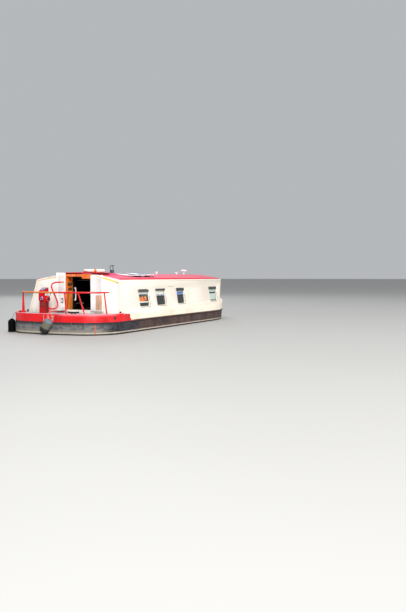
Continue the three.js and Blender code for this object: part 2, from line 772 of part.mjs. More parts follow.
function cabinFloor() {
  const half = hull.halfBeam - hull.side - 30 - gap;
  const wide = planLoft([
    { outline: lowerOutline(12080, 1500, 2 * hull.side + gap, 1.4), z: cabin.floor - 24 },
    { outline: lowerOutline(12080, 1500, 2 * hull.side + gap, 1.4), z: cabin.floor },
  ]);
  return wide.intersect(box(cabin.floorAft, cabin.frontBulkhead + cabin.wall, -half, half, 0, 3000));
}

const casing = { aft: 1760, step: 2630, fore: 2950, starboard: -850, port: 340, top: 1000, stepTop: 700, wall: 24 };

// The box over the engine, with a step down to the cabin floor.
function engineCasing() {
  const { aft, step, fore, starboard, port, top, stepTop, wall } = casing;
  const shelf = hull.counter + hull.bottom + gap;
  const shape = polygon([
    [aft, shelf],
    [aft, top],
    [step, top],
    [step, stepTop],
    [fore, stepTop],
    [fore, cabin.floor + gap],
    [cabin.floorAft, cabin.floor + gap],
    [cabin.floorAft, shelf],
  ]);
  const inside = polygon([
    [aft + wall, 0],
    [aft + wall, top - wall],
    [step - wall, top - wall],
    [step - wall, stepTop - wall],
    [fore - wall, stepTop - wall],
    [fore - wall, 0],
  ]);
  return sideView(shape, starboard, port).subtract(sideView(inside, starboard + wall, port - wall));
}

function engineBlock() {
  return box(1950, 2600, -270, 270, hull.bottom + gap, 940);
}

// Varnished boards beside the companionway, and the beam at its forward end.
function companionwayLining() {
  const { port, starboard, sill } = doorway;
  const board = 22;
  const fore = hatch.opening + 60;
  const wallTop = (y) => Math.min(roofUnder(y), roofUnder(y + board)) - gap;
  const walls = [[port + gap, port + gap + board], [starboard - gap - board, starboard - gap]].map(([y0, y1]) =>
    sideView(polygon([
      [aftFace(sill) + cabin.wall + 0.8, sill],
      [fore, sill],
      [fore, wallTop(Math.abs(y0))],
      [aftFace(wallTop(Math.abs(y0))) + cabin.wall + 0.8, wallTop(Math.abs(y0))],
    ]), y0, y1));
  const low = draught + 1870;
  const beam = box(hatch.opening + 4, hatch.opening + 40, starboard - gap - 1, port + gap + 1, low, wallTop(starboard) - 6);
  return union([...walls, beam]);
}

const gauges = [
  // station, height above the water
  [1460, 1641],
  [1590, 1641],
  [1480, 1472],
  [1610, 1472],
];

function gaugePanel() {
  const y = doorway.port;
  const plate = box(1405, 1665, y - 12, y - gap, draught + 1400, draught + 1710);
  const dials = gauges.map(([x, z]) => bar([x, y - 10, draught + z], [x, y - 26, draught + z], 45, 16));
  return union([plate, ...dials]);
}

function grabRail() {
  const y = doorway.port - 34;
  const x = hatch.opening - 60;
  const [low, high] = [draught + 1080, draught + 1500];
  const stems = [low, high].map((z) => bar([x, doorway.port, z], [x, y, z], 12, 10));
  const grasp = tube([[x, y, low - 20], [x + 14, y, low + 140], [x + 22, y, high - 120], [x, y, high + 20]], 13, 10);
  return union([grasp, ...stems]);
}

// Roof pieces

const runner = { rib: 18, flange: 75, lip: draught + 1985, top: hatch.lidTop - hatch.lid - gap, fore: 2870 };

// A rail for the lid: a rib under its edge with a low flange outboard, on the roof and the door frame.
function hatchRunner(side) {
  const inner = side > 0 ? doorway.port + 12 : doorway.starboard - 12;
  const [y0, step, y1] = [0, runner.rib, runner.flange].map((d) => inner + side * d);
  const lip = Math.max(runner.lip, roofTop(inner) + 10);
  const profile = (under) => section(polygon([
    [y0, under(y0)],
    [y1, under(y1)],
    [y1, lip],
    [step, lip],
    [step, runner.top],
    [y0, runner.top],
  ]), 0, 1);
  const onRoof = warp(profile((y) => roofTop(y) + gap),
    (x, y, z) => [x < 0.5 ? aftFace(z) - 12 : runner.fore, y, z]);
  const onFrame = warp(profile(() => doorway.head + gap),
    (x, y, z) => [x < 0.5 ? hatch.aft + 5 : aftFace(z) - gap, y, z]);
  const frame = box(0, aftFace(doorway.head) + doorway.behind + gap, -3000, 3000, 0, doorway.head + gap);
  return union([onRoof.subtract(frame), onFrame]);
}

const frontBoard = { thick: 28, clear: 6, step: -375, top: draught + 1990, port: draught + 1905, starboard: draught + 1830 };

// The sliding lid, with the board that hangs under its aft edge and closes the head of the doorway.
function hatchLid() {
  const [y0, y1] = [doorway.starboard - hatch.overhang, doorway.port + hatch.overhang];
  const top = hatch.lidTop;
  const plate = section(polygon([
    [y0, top - hatch.lid],
    [y1, top - hatch.lid],
    [y1, top - 8],
    [(y0 + y1) / 2, top],
    [y0, top - 8],
  ]), hatch.aft, hatch.aft + hatch.length);
  const { thick, clear, step, top: boardTop, port: portFoot, starboard: starboardFoot } = frontBoard;
  const [port, starboard] = [doorway.port - clear, doorway.starboard + clear];
  const [x0, x1] = [hatch.aft + 2, hatch.aft + 2 + thick];
  const board = [
    box(x0, x1, starboard, port, portFoot, boardTop),
    box(x0, x1, starboard, step, starboardFoot, portFoot + 1),
    box(x0, x1, port - 20, port, boardTop - 1, top - hatch.lid + 4),
    box(x0, x1, starboard, starboard + 20, boardTop - 1, top - hatch.lid + 4),
  ];
  const handle = tube([
    [hatch.aft + 60, -547, top - 10],
    [hatch.aft + 60, -547, top + 26],
    [hatch.aft + 60, -432, top + 26],
    [hatch.aft + 60, -432, top - 10],
  ], 8, 16, 8);
  return union([plate, ...board, handle]);
}

function lifebuoy() {
  const [radius, thick, flatness] = [322, 59, 0.9];
  const ring = new THREE.TorusGeometry(radius, thick, 8, 24);
  return solid(ring.scale(1, 1, flatness).translate(1985, -450, hatch.lidTop + thick * flatness + gap));
}

// A low upstand along the roof's edge, which serves as handrail.
function roofHandrail(side) {
  const middle = cabin.halfRoof - 34;
  const [y0, y1] = [-16, 16].map((d) => side * middle + d);
  const top = roofTop(middle) + 38;
  const strip = section(polygon([
    [y0, roofTop(y0) + gap],
    [y1, roofTop(y1) + gap],
    [y1, top],
    [y0, top],
  ]), 0, 1);
  return warp(strip, (x, y, z) => [x < 0.5 ? aftFace(z) + 60 : foreFace(z) - 200, y, z]);
}

function chimney(x, y) {
  const base = footing(y, 125);
  return lathe([
    [0, base],
    [125, base],
    [125, base + 14],
    [78, base + 24],
    [76, base + 150],
    [62, base + 150],
    [62, base + 137],
    [0, base + 137],
  ], 24).translate(x, y, 0).add(union([
    ...[0, 1, 2].map((i) => {
      const a = (2 * Math.PI * i) / 3;
      const [u, v] = [x + 69 * Math.cos(a), y + 69 * Math.sin(a)];
      return bar([u, v, base + 130], [u, v, base + 305], 7, 6);
    }),
    bar([x, y, base + 298], [x, y, base + 310], 96, 20),
    bar([x, y, base + 310], [x, y, base + 330], 96, 20, 30),
  ]));
}

const panelEdges = { starboard: -1290, port: -600, thick: 30 };
const panels = {
  aft: { aft: 3090, fore: 3890, low: draught + 1920, high: draught + 1980, rise: 20 },
  forward: { aft: 3950, fore: 4740, low: draught + 1935, high: draught + 2000, rise: 40 },
};

// A panel on four short legs. It leans to starboard and climbs by its rise towards the bow.
function solarPanel({ aft, fore, low, high, rise }) {
  const { starboard, port, thick } = panelEdges;
  const climb = (x) => (rise * (x - aft)) / (fore - aft);
  const plate = warp(section(polygon([
    [starboard, low],
    [port, high],
    [port, high + thick],
    [starboard, low + thick],
  ]), aft, fore), (x, y, z) => [x, y, z + climb(x)]);
  const legs = [aft + 60, fore - 20].flatMap((x) => [[starboard, low], [port - 40, high - 5]].map(([y, z]) =>
    box(x - 20, x + 20, y - 30, y + 30, roofTop(Math.abs(y) - 30) + gap, z + climb(x) + 8)));
  return union([plate, ...legs]);
}

// Height of the highest point of the roof under a round foot.
const footing = (y, radius) => roofTop(Math.max(0, Math.abs(y) - radius)) + gap;

function roofVent(x, y) {
  const base = footing(y, 62);
  return lathe([
    [0, base],
    [62, base],
    [62, base + 8],
    [30, base + 16],
    [30, base + 84],
    [74, base + 92],
    [66, base + 112],
    [0, base + 120],
  ], 20).translate(x, y, 0);
}

function tvAerial(x, y) {
  const base = footing(y, 42);
  return lathe([
    [0, base],
    [42, base],
    [42, base + 40],
    [14, base + 52],
    [14, base + 140],
    [120, base + 150],
    [145, base + 172],
    [145, base + 200],
    [110, base + 226],
    [0, base + 236],
  ], 24).translate(x, y, 0);
}

// Doors. Each leaf is modelled shut, with its hinge line at the origin.

function doorLeaf(width, height, thick, side) {
  const out = rearDoor.hingeOut;
  const y = side > 0 ? [-out - width, -out] : [out, out + width];
  const leaf = box(out, out + thick, ...y, 0, height);
  const frame = 60;
  const recess = box(out - 1, out + 5, y[0] + frame, y[1] - frame, height * 0.1, height * 0.9)
    .add(box(out + thick - 5, out + thick + 1, y[0] + frame, y[1] - frame, height * 0.1, height * 0.9));
  const pins = knuckles.map((f) => {
    const [low, high] = [f * height - knuckleHalf, f * height + knuckleHalf];
    const arm = box(-2, out + 3, side > 0 ? -out - 40 : 0, side > 0 ? 0 : out + 40, low, high);
    return bar([0, 0, low], [0, 0, high], 5.4, 10).add(arm);
  });
  return union([leaf.subtract(recess), ...pins]);
}

// Bow pieces

function wellDeck() {
  const aft = cabin.frontBulkhead + cabin.wall + gap;
  return planLoft([
    { outline: upperOutline(12420, hull.side + 30 + gap, 1.12), z: well.floor - well.plate },
    { outline: upperOutline(12420, hull.side + 30 + gap, 1.12), z: well.floor },
  ]).intersect(box(aft, well.fore + 60, -3000, 3000, 0, 3000));
}

const locker = { aft: 11060, fore: 11560, half: 420 };

const bowDeckOutline = upperOutline(12540, hull.halfBeam - hull.gunwaleInner + gap);
const bowDeckTop = (x) => plateHeight(bowDeckOutline, x) - 10;

function bowDeck() {
  const { aft, fore, half } = locker;
  const plate = planLoft([
    { outline: bowDeckOutline, z: (x) => sheerCurve(x) - 50 },
    { outline: bowDeckOutline, z: (x) => sheerCurve(x) - 10 },
  ]).intersect(box(well.fore, 13000, -3000, 3000, 0, 4000));
  const face = planLoft([
    { outline: bowDeckOutline, z: well.floor + gap },
    { outline: bowDeckOutline, z: (x) => sheerCurve(x) - 30 },
  ]).intersect(box(well.fore, well.fore + 40, -3000, 3000, 0, 4000));
  const opening = box(aft, fore, -half, half, 0, 3000);
  const rim = box(aft - 30, fore + 30, -half - 30, half + 30, sheerCurve(aft) - 40, lockerTop);
  return plate.add(face).add(rim).subtract(opening);
}

const lockerTop = sheerCurve(locker.fore + 30) + 30;

function lockerLid() {
  const { aft, fore, half } = locker;
  const plate = box(aft - 34, fore + 34, -half - 34, half + 34, lockerTop + gap, lockerTop + 16);
  const lip = box(aft + 6, fore - 6, -half + 6, half - 6, lockerTop - 20, lockerTop + 6);
  const knuckle = bar([fore + 40, -200, lockerTop + 10], [fore + 40, 200, lockerTop + 10], 9, 10);
  return union([plate, lip, knuckle]);
}

function bowStud() {
  const x = 12060;
  const z = bowDeckTop(x);
  const plate = sideView(polygon([
    [x - 60, bowDeckTop(x - 60) + gap],
    [x + 60, bowDeckTop(x + 60) + gap],
    [x + 60, bowDeckTop(x + 60) + 12],
    [x - 60, bowDeckTop(x - 60) + 12],
  ]), -60, 60);
  const post = bar([x, 0, z + 5], [x, 0, z + 150], 30, 12);
  const arm = bar([x, -110, z + 130], [x, 110, z + 130], 20, 12);
  return union([plate, post, arm]);
}

function bowFender() {
  const pad = new THREE.SphereGeometry(1, 14, 10);
  pad.scale(120, 200, 240);
  const clear = planLoft([
    { outline: upperOutline(12420, -gap, 1.12), z: hull.counter },
    { outline: upperOutline(12540, -gap, 1.04), z: hull.strake },
    { outline: upperOutline(hull.length, -gap), z: sheerCurve },
  ]);
  return solid(pad.translate(hull.length - 10, 0, draught + 640)).subtract(clear);
}

// Assembly

const boat = new THREE.Group();
boat.name = 'narrowboat';
const afloat = new THREE.Group();
afloat.position.x = -midship;
boat.add(afloat);

function place(name, body, finish, position = [0, 0, 0], turn = 0) {
  const mesh = new THREE.Mesh(geometryOf(body), material(finish));
  mesh.name = name;
  mesh.position.set(...position);
  mesh.rotation.z = THREE.MathUtils.degToRad(turn);
  afloat.add(mesh);
}

place('hull', hullShell(), 'black');
place('rubbing_strake_port', rubbingStrake(1), 'black');
place('rubbing_strake_starboard', rubbingStrake(-1), 'black');
place('stern_deck', sternDeck(), 'deckGrey');
place('deck_hatch_lid', deckHatchLid(), 'deckGrey');
place('stern_rail', sternRail(), 'red');
place('control_pedestal', controlPedestal(), 'red');
place('engine_control', engineControl(), 'red');
place('rudder', rudderAssembly(), 'black');
place('tiller', tiller(), 'red');
place('tiller_grip', tillerGrip(), 'teak');
place('propeller', screw(), 'bronze');
place('stern_fender', sternFender(), 'rope');
place('quarter_fender', quarterFender(), 'rubber');
place('mooring_dolly_port', mooringDolly(630, 1690, hull.deck + gap), 'black');
place('mooring_cleat_starboard', mooringCleat(500, -620, hull.deck + gap), 'black');

place('cabin_side_port', cabinSide(1), 'cream');
place('cabin_side_starboard', cabinSide(-1), 'cream');
place('aft_bulkhead', aftBulkhead(), 'white');
place('front_bulkhead', frontBulkhead(), 'cream');
place('cabin_roof', cabinRoof(), 'roofRed');
place('cabin_floor', cabinFloor(), 'teak');
place('engine_casing', engineCasing(), 'teak');
place('engine_block', engineBlock(), 'engine');
place('companionway_lining', companionwayLining(), 'oak');
place('gauge_panel', gaugePanel(), 'rubber');
place('grab_rail', grabRail(), 'white');

for (const [name, side] of [['port', 1], ['starboard', -1]]) {
  windows.openings.forEach((opening, i) => {
    place(`window_${name}_${i + 1}`, cabinWindow(side, opening), 'glass');
  });
  place(`hatch_runner_${name}`, hatchRunner(side), 'red');
  place(`roof_handrail_${name}`, roofHandrail(side), 'cream');
}

place('hatch_lid', hatchLid(), 'red');
place('lifebuoy', lifebuoy(), 'white');
place('chimney', chimney(3890, 20), 'steel');
place('solar_panel_aft', solarPanel(panels.aft), 'solar');
place('solar_panel_forward', solarPanel(panels.forward), 'solar');
place('roof_vent_aft', roofVent(6790, -300), 'white');
place('roof_vent_forward', roofVent(8830, -200), 'white');
place('tv_aerial', tvAerial(9740, -100), 'white');

place('rear_door_port', doorLeaf(rearDoor.port, leafHeight.port, rearDoor.thick, 1), 'white',
  [rearHinge.x, rearHinge.port, rearDoor.bottom], -rearDoor.restPort);
place('rear_door_starboard', doorLeaf(starboardLeaf, leafHeight.starboard, rearDoor.thick, -1), 'white',
  [rearHinge.x, rearHinge.starboard, rearDoor.bottom], rearDoor.restStarboard);

// The front doors open forward, so each is the rear leaf turned half round.
place('front_door_port', doorLeaf(frontWidth, frontHeight, frontDoor.thick, -1), 'cream',
  [frontHinge.x, frontHinge.y, frontDoor.sill - 10], 180);
place('front_door_starboard', doorLeaf(frontWidth, frontHeight, frontDoor.thick, 1), 'cream',
  [frontHinge.x, -frontHinge.y, frontDoor.sill - 10], 180);

place('well_deck', wellDeck(), 'deckGrey');
place('bow_deck', bowDeck(), 'red');
place('bow_locker_lid', lockerLid(), 'red');
place('bow_t_stud', bowStud(), 'black');
place('bow_fender', bowFender(), 'rope');

export default boat;
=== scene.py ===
# %% [markdown]
# # A wide-beam narrowboat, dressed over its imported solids
#
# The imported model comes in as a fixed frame. Every solid already stands where the part's source put
# it, in metres, with +X towards the bow, +Y to port and the waterline at z = 0.6. Each step takes the
# pieces of one area of the boat, softens their edges or models them anew with bmesh, and gives them
# a painted, varnished or weathered finish built from shader nodes.

# %% Load the frame
import json
import math

import bmesh
import bpy
from mathutils import Matrix, Vector


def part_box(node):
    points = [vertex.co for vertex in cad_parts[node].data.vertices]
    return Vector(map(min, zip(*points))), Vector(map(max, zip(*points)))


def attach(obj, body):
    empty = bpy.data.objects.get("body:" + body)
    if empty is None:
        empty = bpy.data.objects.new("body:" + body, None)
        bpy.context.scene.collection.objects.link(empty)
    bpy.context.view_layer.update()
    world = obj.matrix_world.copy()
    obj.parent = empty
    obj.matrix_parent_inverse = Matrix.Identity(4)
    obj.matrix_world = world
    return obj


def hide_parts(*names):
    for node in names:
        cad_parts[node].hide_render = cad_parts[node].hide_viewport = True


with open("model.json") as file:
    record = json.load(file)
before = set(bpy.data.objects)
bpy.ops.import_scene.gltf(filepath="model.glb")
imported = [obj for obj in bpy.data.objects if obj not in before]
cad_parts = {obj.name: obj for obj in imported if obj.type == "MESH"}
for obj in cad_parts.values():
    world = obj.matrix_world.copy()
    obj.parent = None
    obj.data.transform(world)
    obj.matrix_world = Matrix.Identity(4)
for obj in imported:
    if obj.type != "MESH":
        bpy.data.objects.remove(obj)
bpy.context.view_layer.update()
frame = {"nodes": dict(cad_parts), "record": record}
nodes = frame["nodes"]

# from the stern's end to x = 0, and the heights of the waterline, the stern deck and the rubbing strake
MIDSHIP, WATERLINE, DECK, STRAKE = 6.31, 0.6, 1.249, 1.008
# half the cabin's width at the deck, and how far its side leans in for each metre up
CABIN_HALF, LEAN = 1.906, 0.151


def at(station):
    """X in the row frame of a station in millimetres from the aftmost point of the stern."""
    return station / 1000 - MIDSHIP


# %% [markdown]
# ## The camera
#
# The camera stands low, off the boat's starboard quarter. It could be placed by eye until the render
# fits, but the photograph gives it: the horizon, the vanishing point of the cabin side and the heights
# of the stern fix its place, its heading and its lens. The long side of the frame is upright, so the
# sensor is fitted to the height. Strong paint colours are part of this boat's look, and the standard
# view keeps them, where a filmic one would grey them.

# %% Camera
PHOTO = (406, 612)
FOCAL_PIXELS = 681.14
HEADING, DIP = math.radians(24.75), math.radians(-2.54)

camera_data = bpy.data.cameras.new("camera")
camera_data.sensor_fit = "VERTICAL"
camera_data.sensor_height = 36
camera_data.sensor_width = 36
camera_data.lens = camera_data.sensor_height * FOCAL_PIXELS / PHOTO[1]
camera_data.clip_end = 1000
camera = bpy.data.objects.new("camera", camera_data)
camera.location = (-24.424, -13.915, 2.53)
look = Vector((math.cos(DIP) * math.cos(HEADING), math.cos(DIP) * math.sin(HEADING), math.sin(DIP)))
camera.rotation_euler = look.to_track_quat("-Z", "Y").to_euler()
bpy.context.scene.collection.objects.link(camera)
bpy.context.scene.camera = camera
bpy.context.scene.view_settings.view_transform = "Standard"
print("camera: lens", round(camera_data.lens, 2), "mm")

# %% [markdown]
# ## Shader maths
#
# A finish is a small program of nodes. It could be wired by hand in the editor, but written as Python
# expressions it stays readable, so one class stands for the value of a socket and its operators add
# Math nodes, and one method adds every other kind of node.


# %% Wires
class Wire:
    """The value of a socket. Sums, products and differences of wires add Math nodes."""

    def __init__(self, finish, socket):
        self.finish = finish
        self.socket = socket

    def math(self, operation, *others, reflected=False):
        terms = [self, *others]
        if reflected:
            terms.reverse()
        node = self.finish.add("ShaderNodeMath", {"operation": operation}, dict(enumerate(terms)))
        return Wire(self.finish, node.outputs[0])

    def __add__(self, other):
        return self.math("ADD", other)

    def __radd__(self, other):
        return self.math("ADD", other)

    def __sub__(self, other):
        return self.math("SUBTRACT", other)

    def __rsub__(self, other):
        return self.math("SUBTRACT", other, reflected=True)

    def __mul__(self, other):
        return self.math("MULTIPLY", other)

    def __rmul__(self, other):
        return self.math("MULTIPLY", other)

    def __truediv__(self, other):
        return self.math("DIVIDE", other)

    def __pow__(self, other):
        return self.math("POWER", other)

    def __abs__(self):
        return self.math("ABSOLUTE")

    def __mod__(self, other):
        return self.math("FLOORED_MODULO", other)

    def clamp(self):
        """The value held between 0 and 1."""
        return self.math("MAXIMUM", 0).math("MINIMUM", 1)

    def fade(self, low, high):
        """0 on low's side and 1 on high's side, turning smoothly between them."""
        node = self.finish.add(
            "ShaderNodeMapRange",
            {"interpolation_type": "SMOOTHSTEP"},
            {"Value": self, "From Min": low, "From Max": high},
        )
        return Wire(self.finish, node.outputs["Result"])

    def band(self, low, high, soft=0.002):
        """1 between low and high, 0 outside."""
        return self.fade(low - soft, low + soft) * self.fade(high + soft, high - soft)


# %% Finishes
class Finish:
    """A material whose nodes are added by one method."""

    def __init__(self, name, **fixed):
        self.material = bpy.data.materials.new(name)
        self.material.use_nodes = True
        self.tree = self.material.node_tree
        self.shader = self.tree.nodes["Principled BSDF"]
        for socket, value in fixed.items():
            self.feed(socket.replace("_", " "), value)
        self.place = self.add("ShaderNodeTexCoord").outputs["Object"]
        axes = self.add("ShaderNodeSeparateXYZ", {}, {"Vector": Wire(self, self.place)})
        self.x, self.y, self.z = (Wire(self, output) for output in axes.outputs)

    def add(self, kind, settings=None, sockets=None):
        """A node of this kind with its settings, and the values or wires of its sockets."""
        node = self.tree.nodes.new(kind)
        for name, value in (settings or {}).items():
            setattr(node, name, value)
        for name, value in (sockets or {}).items():
            self.join(node.inputs[name], value)
        return node

    def join(self, socket, value):
        """Links a wire to a socket, or sets the socket's own value."""
        if isinstance(value, Wire):
            self.tree.links.new(value.socket, socket)
        else:
            socket.default_value = value

    def feed(self, socket, value):
        """Joins a value to a socket of the finish's one shader."""
        self.join(self.shader.inputs[socket], value)

    def mix(self, a, b, amount):
        """The colour a turned into b by this amount."""
        a, b = (colour(c) if isinstance(c, str) else c for c in (a, b))
        node = self.add("ShaderNodeMix", {"data_type": "RGBA"}, {0: amount, 6: a, 7: b})
        return Wire(self, node.outputs[2])

    def coats(self, tone, *layers):
        """The tone under further colours, each laid on where its mask is 1."""
        for code, mask in layers:
            tone = self.mix(tone, code, mask)
        return tone

    def paint(self, tone, roughness=None, relief=None, depth=0.001):
        """Feeds the colour, the roughness and the relief of the surface."""
        self.feed("Base Color", tone)
        if roughness is not None:
            self.feed("Roughness", roughness)
        if relief is not None:
            self.bump(relief, depth)

    def noise(self, scale, detail=3, stretch=(1, 1, 1), distortion=0):
        """Cloudy values round 0.5. A low stretch draws them out along that axis."""
        spread = self.add("ShaderNodeMapping", {}, {"Vector": Wire(self, self.place), "Scale": stretch})
        sockets = {
            "Vector": Wire(self, spread.outputs[0]),
            "Scale": scale,
            "Detail": detail,
            "Distortion": distortion,
        }
        return Wire(self, self.add("ShaderNodeTexNoise", {}, sockets).outputs["Fac"])

    def bump(self, height, distance):
        """Relief from a height between 0 and 1, this many metres deep."""
        node = self.add("ShaderNodeBump", {}, {"Height": height, "Distance": distance, "Strength": 1})
        self.feed("Normal", Wire(self, node.outputs["Normal"]))


def colour(code):
    """Linear colour of an sRGB hex code."""
    parts = [int(code[i : i + 2], 16) / 255 for i in (0, 2, 4)]
    return (*[c / 12.92 if c < 0.04045 else ((c + 0.055) / 1.055) ** 2.4 for c in parts], 1)


# %% [markdown]
# ## Two-tone finishes
#
# Most fittings wear one paint, metal or rope whose tone wanders a little. A flat colour would look like
# plastic and a picture would fit one mesh only, so a noise on the object's own place turns the first
# tone into the second, and the same noise moves the roughness and the relief.


# %% Two-tone finishes
def two_tone(name, tones, grain=(10, 3), turn=(0.4, 0.7), rough=(0.35, 0.15), relief=0, **fixed):
    """A finish that wanders from tone to tone.

    grain is its noise, turn the noise's reach, rough the least roughness and its rise.
    """
    finish = Finish(name, **fixed)
    drift = finish.noise(*grain)
    least, rise = rough
    finish.paint(
        finish.mix(*tones, drift.fade(*turn) if turn else drift),
        least + drift * rise if rise else least,
        drift if relief else None,
        relief,
    )
    return finish


# %% [markdown]
# ## Keeping pieces
#
# Every shape ends as one mesh whose place is in its points. It is shaded smooth with its sharp edges
# marked, takes its finishes, rides on a body and, where it stands for solids, hides them. Each piece
# could set this up for itself, but one function keeps all of them alike.


# %% Keeping a piece
def body_of(node):
    """The body that a solid belongs to."""
    bodies = frame["record"]["behaviour"]["bodies"]
    return next(name for name, members in bodies.items() if node in members)


def slot_of(node):
    """The material slot of a solid."""
    subparts = frame["record"]["subparts"]
    return next(subpart["material_slot"] for subpart in subparts if subpart["node"] == node)


def keep(name, bm, finishes, body="boat", replaces=(), slot=None, sharp=35):
    """Makes the bmesh a piece that rides on a body and stands for the solids it replaces."""
    bm.normal_update()
    for face in bm.faces:
        face.smooth = True
    for edge in bm.edges:
        edge.smooth = len(edge.link_faces) == 2 and edge.calc_face_angle() < math.radians(sharp)
    mesh = bpy.data.meshes.new(name)
    bm.to_mesh(mesh)
    bm.free()
    for finish in finishes:
        mesh.materials.append(finish.material)
    piece = bpy.data.objects.new(name, mesh)
    bpy.context.scene.collection.objects.link(piece)
    if replaces:
        body = body_of(replaces[0])
        slot = slot_of(replaces[0])
        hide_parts(*replaces)
    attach(piece, body)
    print(f"{name}: {len(mesh.polygons)} faces")
    return piece


# %% [markdown]
# ## Dressing a solid
#
# A CAD solid arrives as loose triangles. Where its shape is already right, a copy of it is merged, its
# flat areas are joined again and its hard edges are bevelled, so that they catch the light as rolled
# or painted steel does. Modelling it anew could give the same, but might lose its measured shape. A
# rule may give each face its own finish.


# %% Dressing helpers
def merged(node):
    """A bmesh of a CAD solid with its triangles merged and its flat areas joined."""
    bm = bmesh.new()
    bm.from_mesh(nodes[node].data)
    bmesh.ops.remove_doubles(bm, verts=bm.verts, dist=2e-5)
    bmesh.ops.dissolve_limit(bm, angle_limit=math.radians(0.5), verts=bm.verts, edges=bm.edges)
    return bm


def bevel(bm, edges, width, segments=2):
    """Rounds these edges over this width."""
    bmesh.ops.bevel(
        bm,
        geom=edges,
        offset=width,
        offset_type="OFFSET",
        segments=segments,
        profile=0.5,
        affect="EDGES",
        clamp_overlap=True,
        material=-1,
    )


def ease(bm, width, angle=30, segments=2):
    """Bevels every edge that turns by more than the angle."""
    hard = [e for e in bm.edges if len(e.link_faces) == 2 and e.calc_face_angle() > math.radians(angle)]
    bevel(bm, hard, width, segments)


def dress(node, *finishes, width=0.002, choose=None, sharp=35):
    """Replaces a solid with its own eased copy. choose gives a face its finish's number."""
    bm = merged(node)
    if width:
        ease(bm, width)
    bm.normal_update()
    if choose:
        for face in bm.faces:
            face.material_index = choose(face.calc_center_median(), face.normal)
    return keep(f"{node}_piece", bm, finishes, replaces=[node], sharp=sharp)


# %% [markdown]
# ## Shapes of new pieces
#
# Fittings are made of four kinds of shape. A block is a box with eased edges, a turned shape is a
# profile spun round an axis as on a lathe, a tube follows a line of points, and a panel is a plate
# with rounded corners that may have a hole. Ready-made cylinders and boxes would be quicker, but their
# edges are too sharp to catch light. Each shape comes as its own bmesh, so that it can be turned and
# moved before it joins the others.


# %% Blocks
def block(low, high, finish=0, width=0.002):
    """A box between two corners with eased edges."""
    bm = bmesh.new()
    low, high = Vector(low), Vector(high)
    bmesh.ops.create_cube(bm, size=1)
    bmesh.ops.scale(bm, verts=bm.verts, vec=high - low)
    bmesh.ops.translate(bm, verts=bm.verts, vec=(low + high) / 2)
    if width:
        bevel(bm, bm.edges[:], width)
    return tinted(bm, finish)


def tinted(bm, finish):
    """The shape with all its faces in the finish of this number."""
    for face in bm.faces:
        face.material_index = finish
    return bm


def moved(bm, matrix):
    """The same shape, taken to another place."""
    bmesh.ops.transform(bm, matrix=matrix, verts=bm.verts)
    return bm


def place(spot, turn=0, axis="Z"):
    """The matrix that turns a flat shape about an axis and takes it to a spot."""
    return Matrix.Translation(spot) @ Matrix.Rotation(turn, 4, axis)


# %% Turned shapes
def turned(profile, centre=(0, 0, 0), finish=0, along=(0, 0, 1), steps=32):
    """Rows of radius and height spun round an axis through the centre."""
    bm = bmesh.new()
    line = [bm.verts.new((radius, 0, height)) for radius, height in profile]
    edges = [bm.edges.new(pair) for pair in zip(line, line[1:])]
    bmesh.ops.spin(
        bm, geom=line + edges, cent=(0, 0, 0), axis=(0, 0, 1), angle=math.tau, steps=steps, use_merge=True
    )
    bmesh.ops.remove_doubles(bm, verts=bm.verts, dist=1e-5)
    bmesh.ops.delete(bm, geom=[e for e in bm.edges if not e.link_faces], context="EDGES")
    bmesh.ops.recalc_face_normals(bm, faces=bm.faces)
    turn = Vector((0, 0, 1)).rotation_difference(Vector(along)).to_matrix().to_4x4()
    return tinted(moved(bm, Matrix.Translation(centre) @ turn), finish)


# %% Lines and tubes
def flowing(points, per=6, closed=False):
    """More points on a smooth line through these."""
    points = [Vector(p) for p in points]
    count = len(points)
    line = []
    for i in range(count if closed else count - 1):
        around = [points[j % count if closed else min(max(j, 0), count - 1)] for j in range(i - 1, i + 3)]
        before, start, end, after = around
        for step in range(per):
            t = step / per
            line.append(
                start
                + (end - before) * t / 2
                + (before * 2 - start * 5 + end * 4 - after) * t * t / 2
                + (start * 3 - before - end * 3 + after) * t**3 / 2
            )
    return line if closed else [*line, points[-1]]


def tube(points, radius, finish=0, closed=False, sides=4):
    """A round bar along a line: a curve given thickness and made a mesh."""
    curve = bpy.data.curves.new("line", "CURVE")
    curve.dimensions = "3D"
    curve.bevel_depth = radius
    curve.bevel_resolution = sides
    curve.use_fill_caps = not closed
    run = curve.splines.new("POLY")
    run.points.add(len(points) - 1)
    for spot, point in zip(run.points, points):
        spot.co = (*point, 1)
    run.use_cyclic_u = closed
    holder = bpy.data.objects.new("line", curve)
    mesh = bpy.data.meshes.new_from_object(holder)
    bm = bmesh.new()
    bm.from_mesh(mesh)
    bpy.data.objects.remove(holder)
    bpy.data.curves.remove(curve)
    bpy.data.meshes.remove(mesh)
    bmesh.ops.remove_doubles(bm, verts=bm.verts, dist=1e-5)
    bmesh.ops.recalc_face_normals(bm, faces=bm.faces)
    return tinted(bm, finish)


